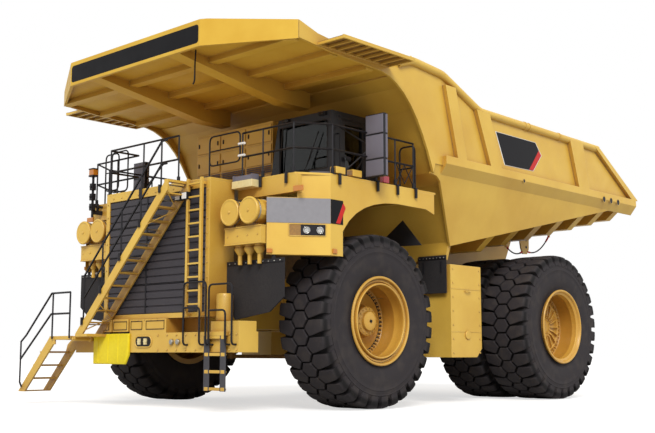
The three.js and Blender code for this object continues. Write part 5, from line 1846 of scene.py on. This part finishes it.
# ------------------------------------------------------------------ finishes on the CAD nodes
CAD_FINISHES: dict[Finish, tuple[str, ...]] = {
    ENAMEL: (
        "bumper", "hood_shroud", "upper_stair", "front_ladder", "lower_stair",
        "electrical_cabinet", "hydraulic_tank", "fuel_tank", "fender_left", "fender_right",
        "air_cleaners_left", "air_cleaners_right", "frame_rails", "deck_platform",
    ),
    BODY_ENAMEL: ("body_floor", "body_front_wall", "body_side_left", "body_side_right"),
    CANOPY_ENAMEL: ("canopy",),
    GEAR_ENAMEL: (
        "rear_axle_housing", "steering_knuckle_left", "steering_knuckle_right", "track_rod",
        "hoist_barrel_left", "hoist_barrel_right",
    ),
    ENGINE_ENAMEL: ("engine_block",),
    HARD_CHROME: (
        "hoist_stage_left", "hoist_stage_right", "hoist_rod_left", "hoist_rod_right",
    ),
    GRILLE_COAT: ("radiator_grille",),
    CAB_COAT: ("cab_shell", "cab_door"),
    POWDER_COAT: (
        "stair_handrail", "lower_stair_handrail", "deck_handrail_left", "deck_handrail_right",
    ),
    WINDOW: ("cab_windows", "cab_door_window"),
    CAB_TRIM: ("cab_interior",),
    SHEET_RUBBER: ("mud_flap_left", "mud_flap_right"),
}


def dress_frame() -> None:
    """Puts each finish on its CAD nodes."""
    for finish, names in CAD_FINISHES.items():
        for name in names:
            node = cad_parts[name]
            node.data.materials.clear()
            node.data.materials.append(finish.material())
            LOG.info("%s is finished in %s", name, finish.name)


# ------------------------------------------------------------------ studio
@dataclass
class Studio:
    """Plain pale floor, soft light and the camera."""

    camera_at: Point = (17.121, -19.74, 1.1435)
    yaw: float = 0.7479
    pitch: float = 0.1334
    focal_px: float = 1015.64
    width_px: int = 655
    ambient: float = 0.55
    sun: float = 2.5

    def build(self) -> None:
        """Builds the studio."""
        self.camera()
        self.floor()
        self.world()
        self.lamp("key_light", (0.78, -0.78, 0.88), self.sun)
        scene = bpy.context.scene
        scene.view_settings.view_transform = "Standard"

    def camera(self) -> None:
        """Sets the camera."""
        data = bpy.data.cameras.new("camera")
        data.sensor_width = 36.0
        data.lens = self.focal_px * data.sensor_width / self.width_px
        data.clip_end = 500.0
        eye = bpy.data.objects.new("camera", data)
        look = Vector(
            (
                -math.sin(self.yaw) * math.cos(self.pitch),
                math.cos(self.yaw) * math.cos(self.pitch),
                math.sin(self.pitch),
            )
        )
        turn = look.to_track_quat("-Z", "Y").to_euler()
        eye.rotation_euler = turn
        eye.location = self.camera_at
        bpy.context.scene.collection.objects.link(eye)
        bpy.context.scene.camera = eye

    def lamp(self, name: str, towards: Point, strength: float) -> None:
        """Adds a broad, soft sun.

        Args:
            name: The lamp's name.
            towards: From the truck to the lamp.
            strength: Its strength.
        """
        data = bpy.data.lights.new(name, "SUN")
        data.energy = strength
        data.angle = math.radians(25)
        lamp = bpy.data.objects.new(name, data)
        lamp.rotation_euler = Vector(towards).to_track_quat("Z", "Y").to_euler()
        bpy.context.scene.collection.objects.link(lamp)

    def floor(self) -> None:
        """Lays the floor, which looks white and keeps the shadow."""
        mesh = bpy.data.meshes.new("floor")
        corners = ((-150, -150), (150, -150), (150, 150), (-150, 150))
        mesh.from_pydata([(x, y, -0.001) for x, y in corners], [], [(0, 1, 2, 3)])
        floor = bpy.data.objects.new("floor", mesh)
        bpy.context.scene.collection.objects.link(floor)
        material = bpy.data.materials.new("studio_floor_paper")
        material.use_nodes = True
        tree = material.node_tree
        tree.nodes.clear()
        paper = add(tree, "ShaderNodeBsdfDiffuse", {"Color": linear("#C9C7C4")})
        glow = add(tree, "ShaderNodeEmission", {"Color": linear("#FFFFFF"), "Strength": 0.62})
        plain = paper.outputs["BSDF"]
        both = add(tree, "ShaderNodeAddShader", {0: plain, 1: glow.outputs["Emission"]})
        seen = add(tree, "ShaderNodeLightPath").outputs["Is Camera Ray"]
        values = {0: seen, 1: plain, 2: both.outputs["Shader"]}
        shown = add(tree, "ShaderNodeMixShader", values)
        add(tree, "ShaderNodeOutputMaterial", {"Surface": shown.outputs["Shader"]})
        mesh.materials.append(material)

    def world(self) -> None:
        """Makes the world white to the camera and a little dimmer as a light."""
        world = bpy.data.worlds.new("studio")
        world.use_nodes = True
        tree = world.node_tree
        tree.nodes.clear()
        light, white = (
            add(tree, "ShaderNodeBackground", {"Color": linear("#FFFFFF"), "Strength": strength})
            for strength in (self.ambient, 1.0)
        )
        path = add(tree, "ShaderNodeLightPath").outputs
        seen = path["Is Camera Ray"]
        for ray in ("Is Glossy Ray", "Is Transmission Ray"):
            values = {"operation": "MAXIMUM", 0: seen, 1: path[ray]}
            seen = add(tree, "ShaderNodeMath", values).outputs["Value"]
        values = {0: seen, 1: light.outputs["Background"], 2: white.outputs["Background"]}
        shown = add(tree, "ShaderNodeMixShader", values)
        add(tree, "ShaderNodeOutputWorld", {"Surface": shown.outputs["Shader"]})
        bpy.context.scene.world = world


def main() -> None:
    """Builds the truck's looks and the studio."""
    logging.basicConfig(level=logging.INFO, format="%(message)s")
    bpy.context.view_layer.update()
    Studio().build()
    dress_frame()
    for assembly in (
        Wheels(),
        Radiator(),
        Bumper(),
        Stairs(),
        Cleaners(),
        Corner(),
        Flaps(),
        Deck(),
        Cabinet(),
        Mirrors(),
        Cab(),
        TippingBody(),
        Tanks(),
        Hoists(),
    ):
        LOG.info("building %s", type(assembly).__name__)
        assembly.build()
    bpy.context.view_layer.update()


if __name__ == "__main__":
    main()
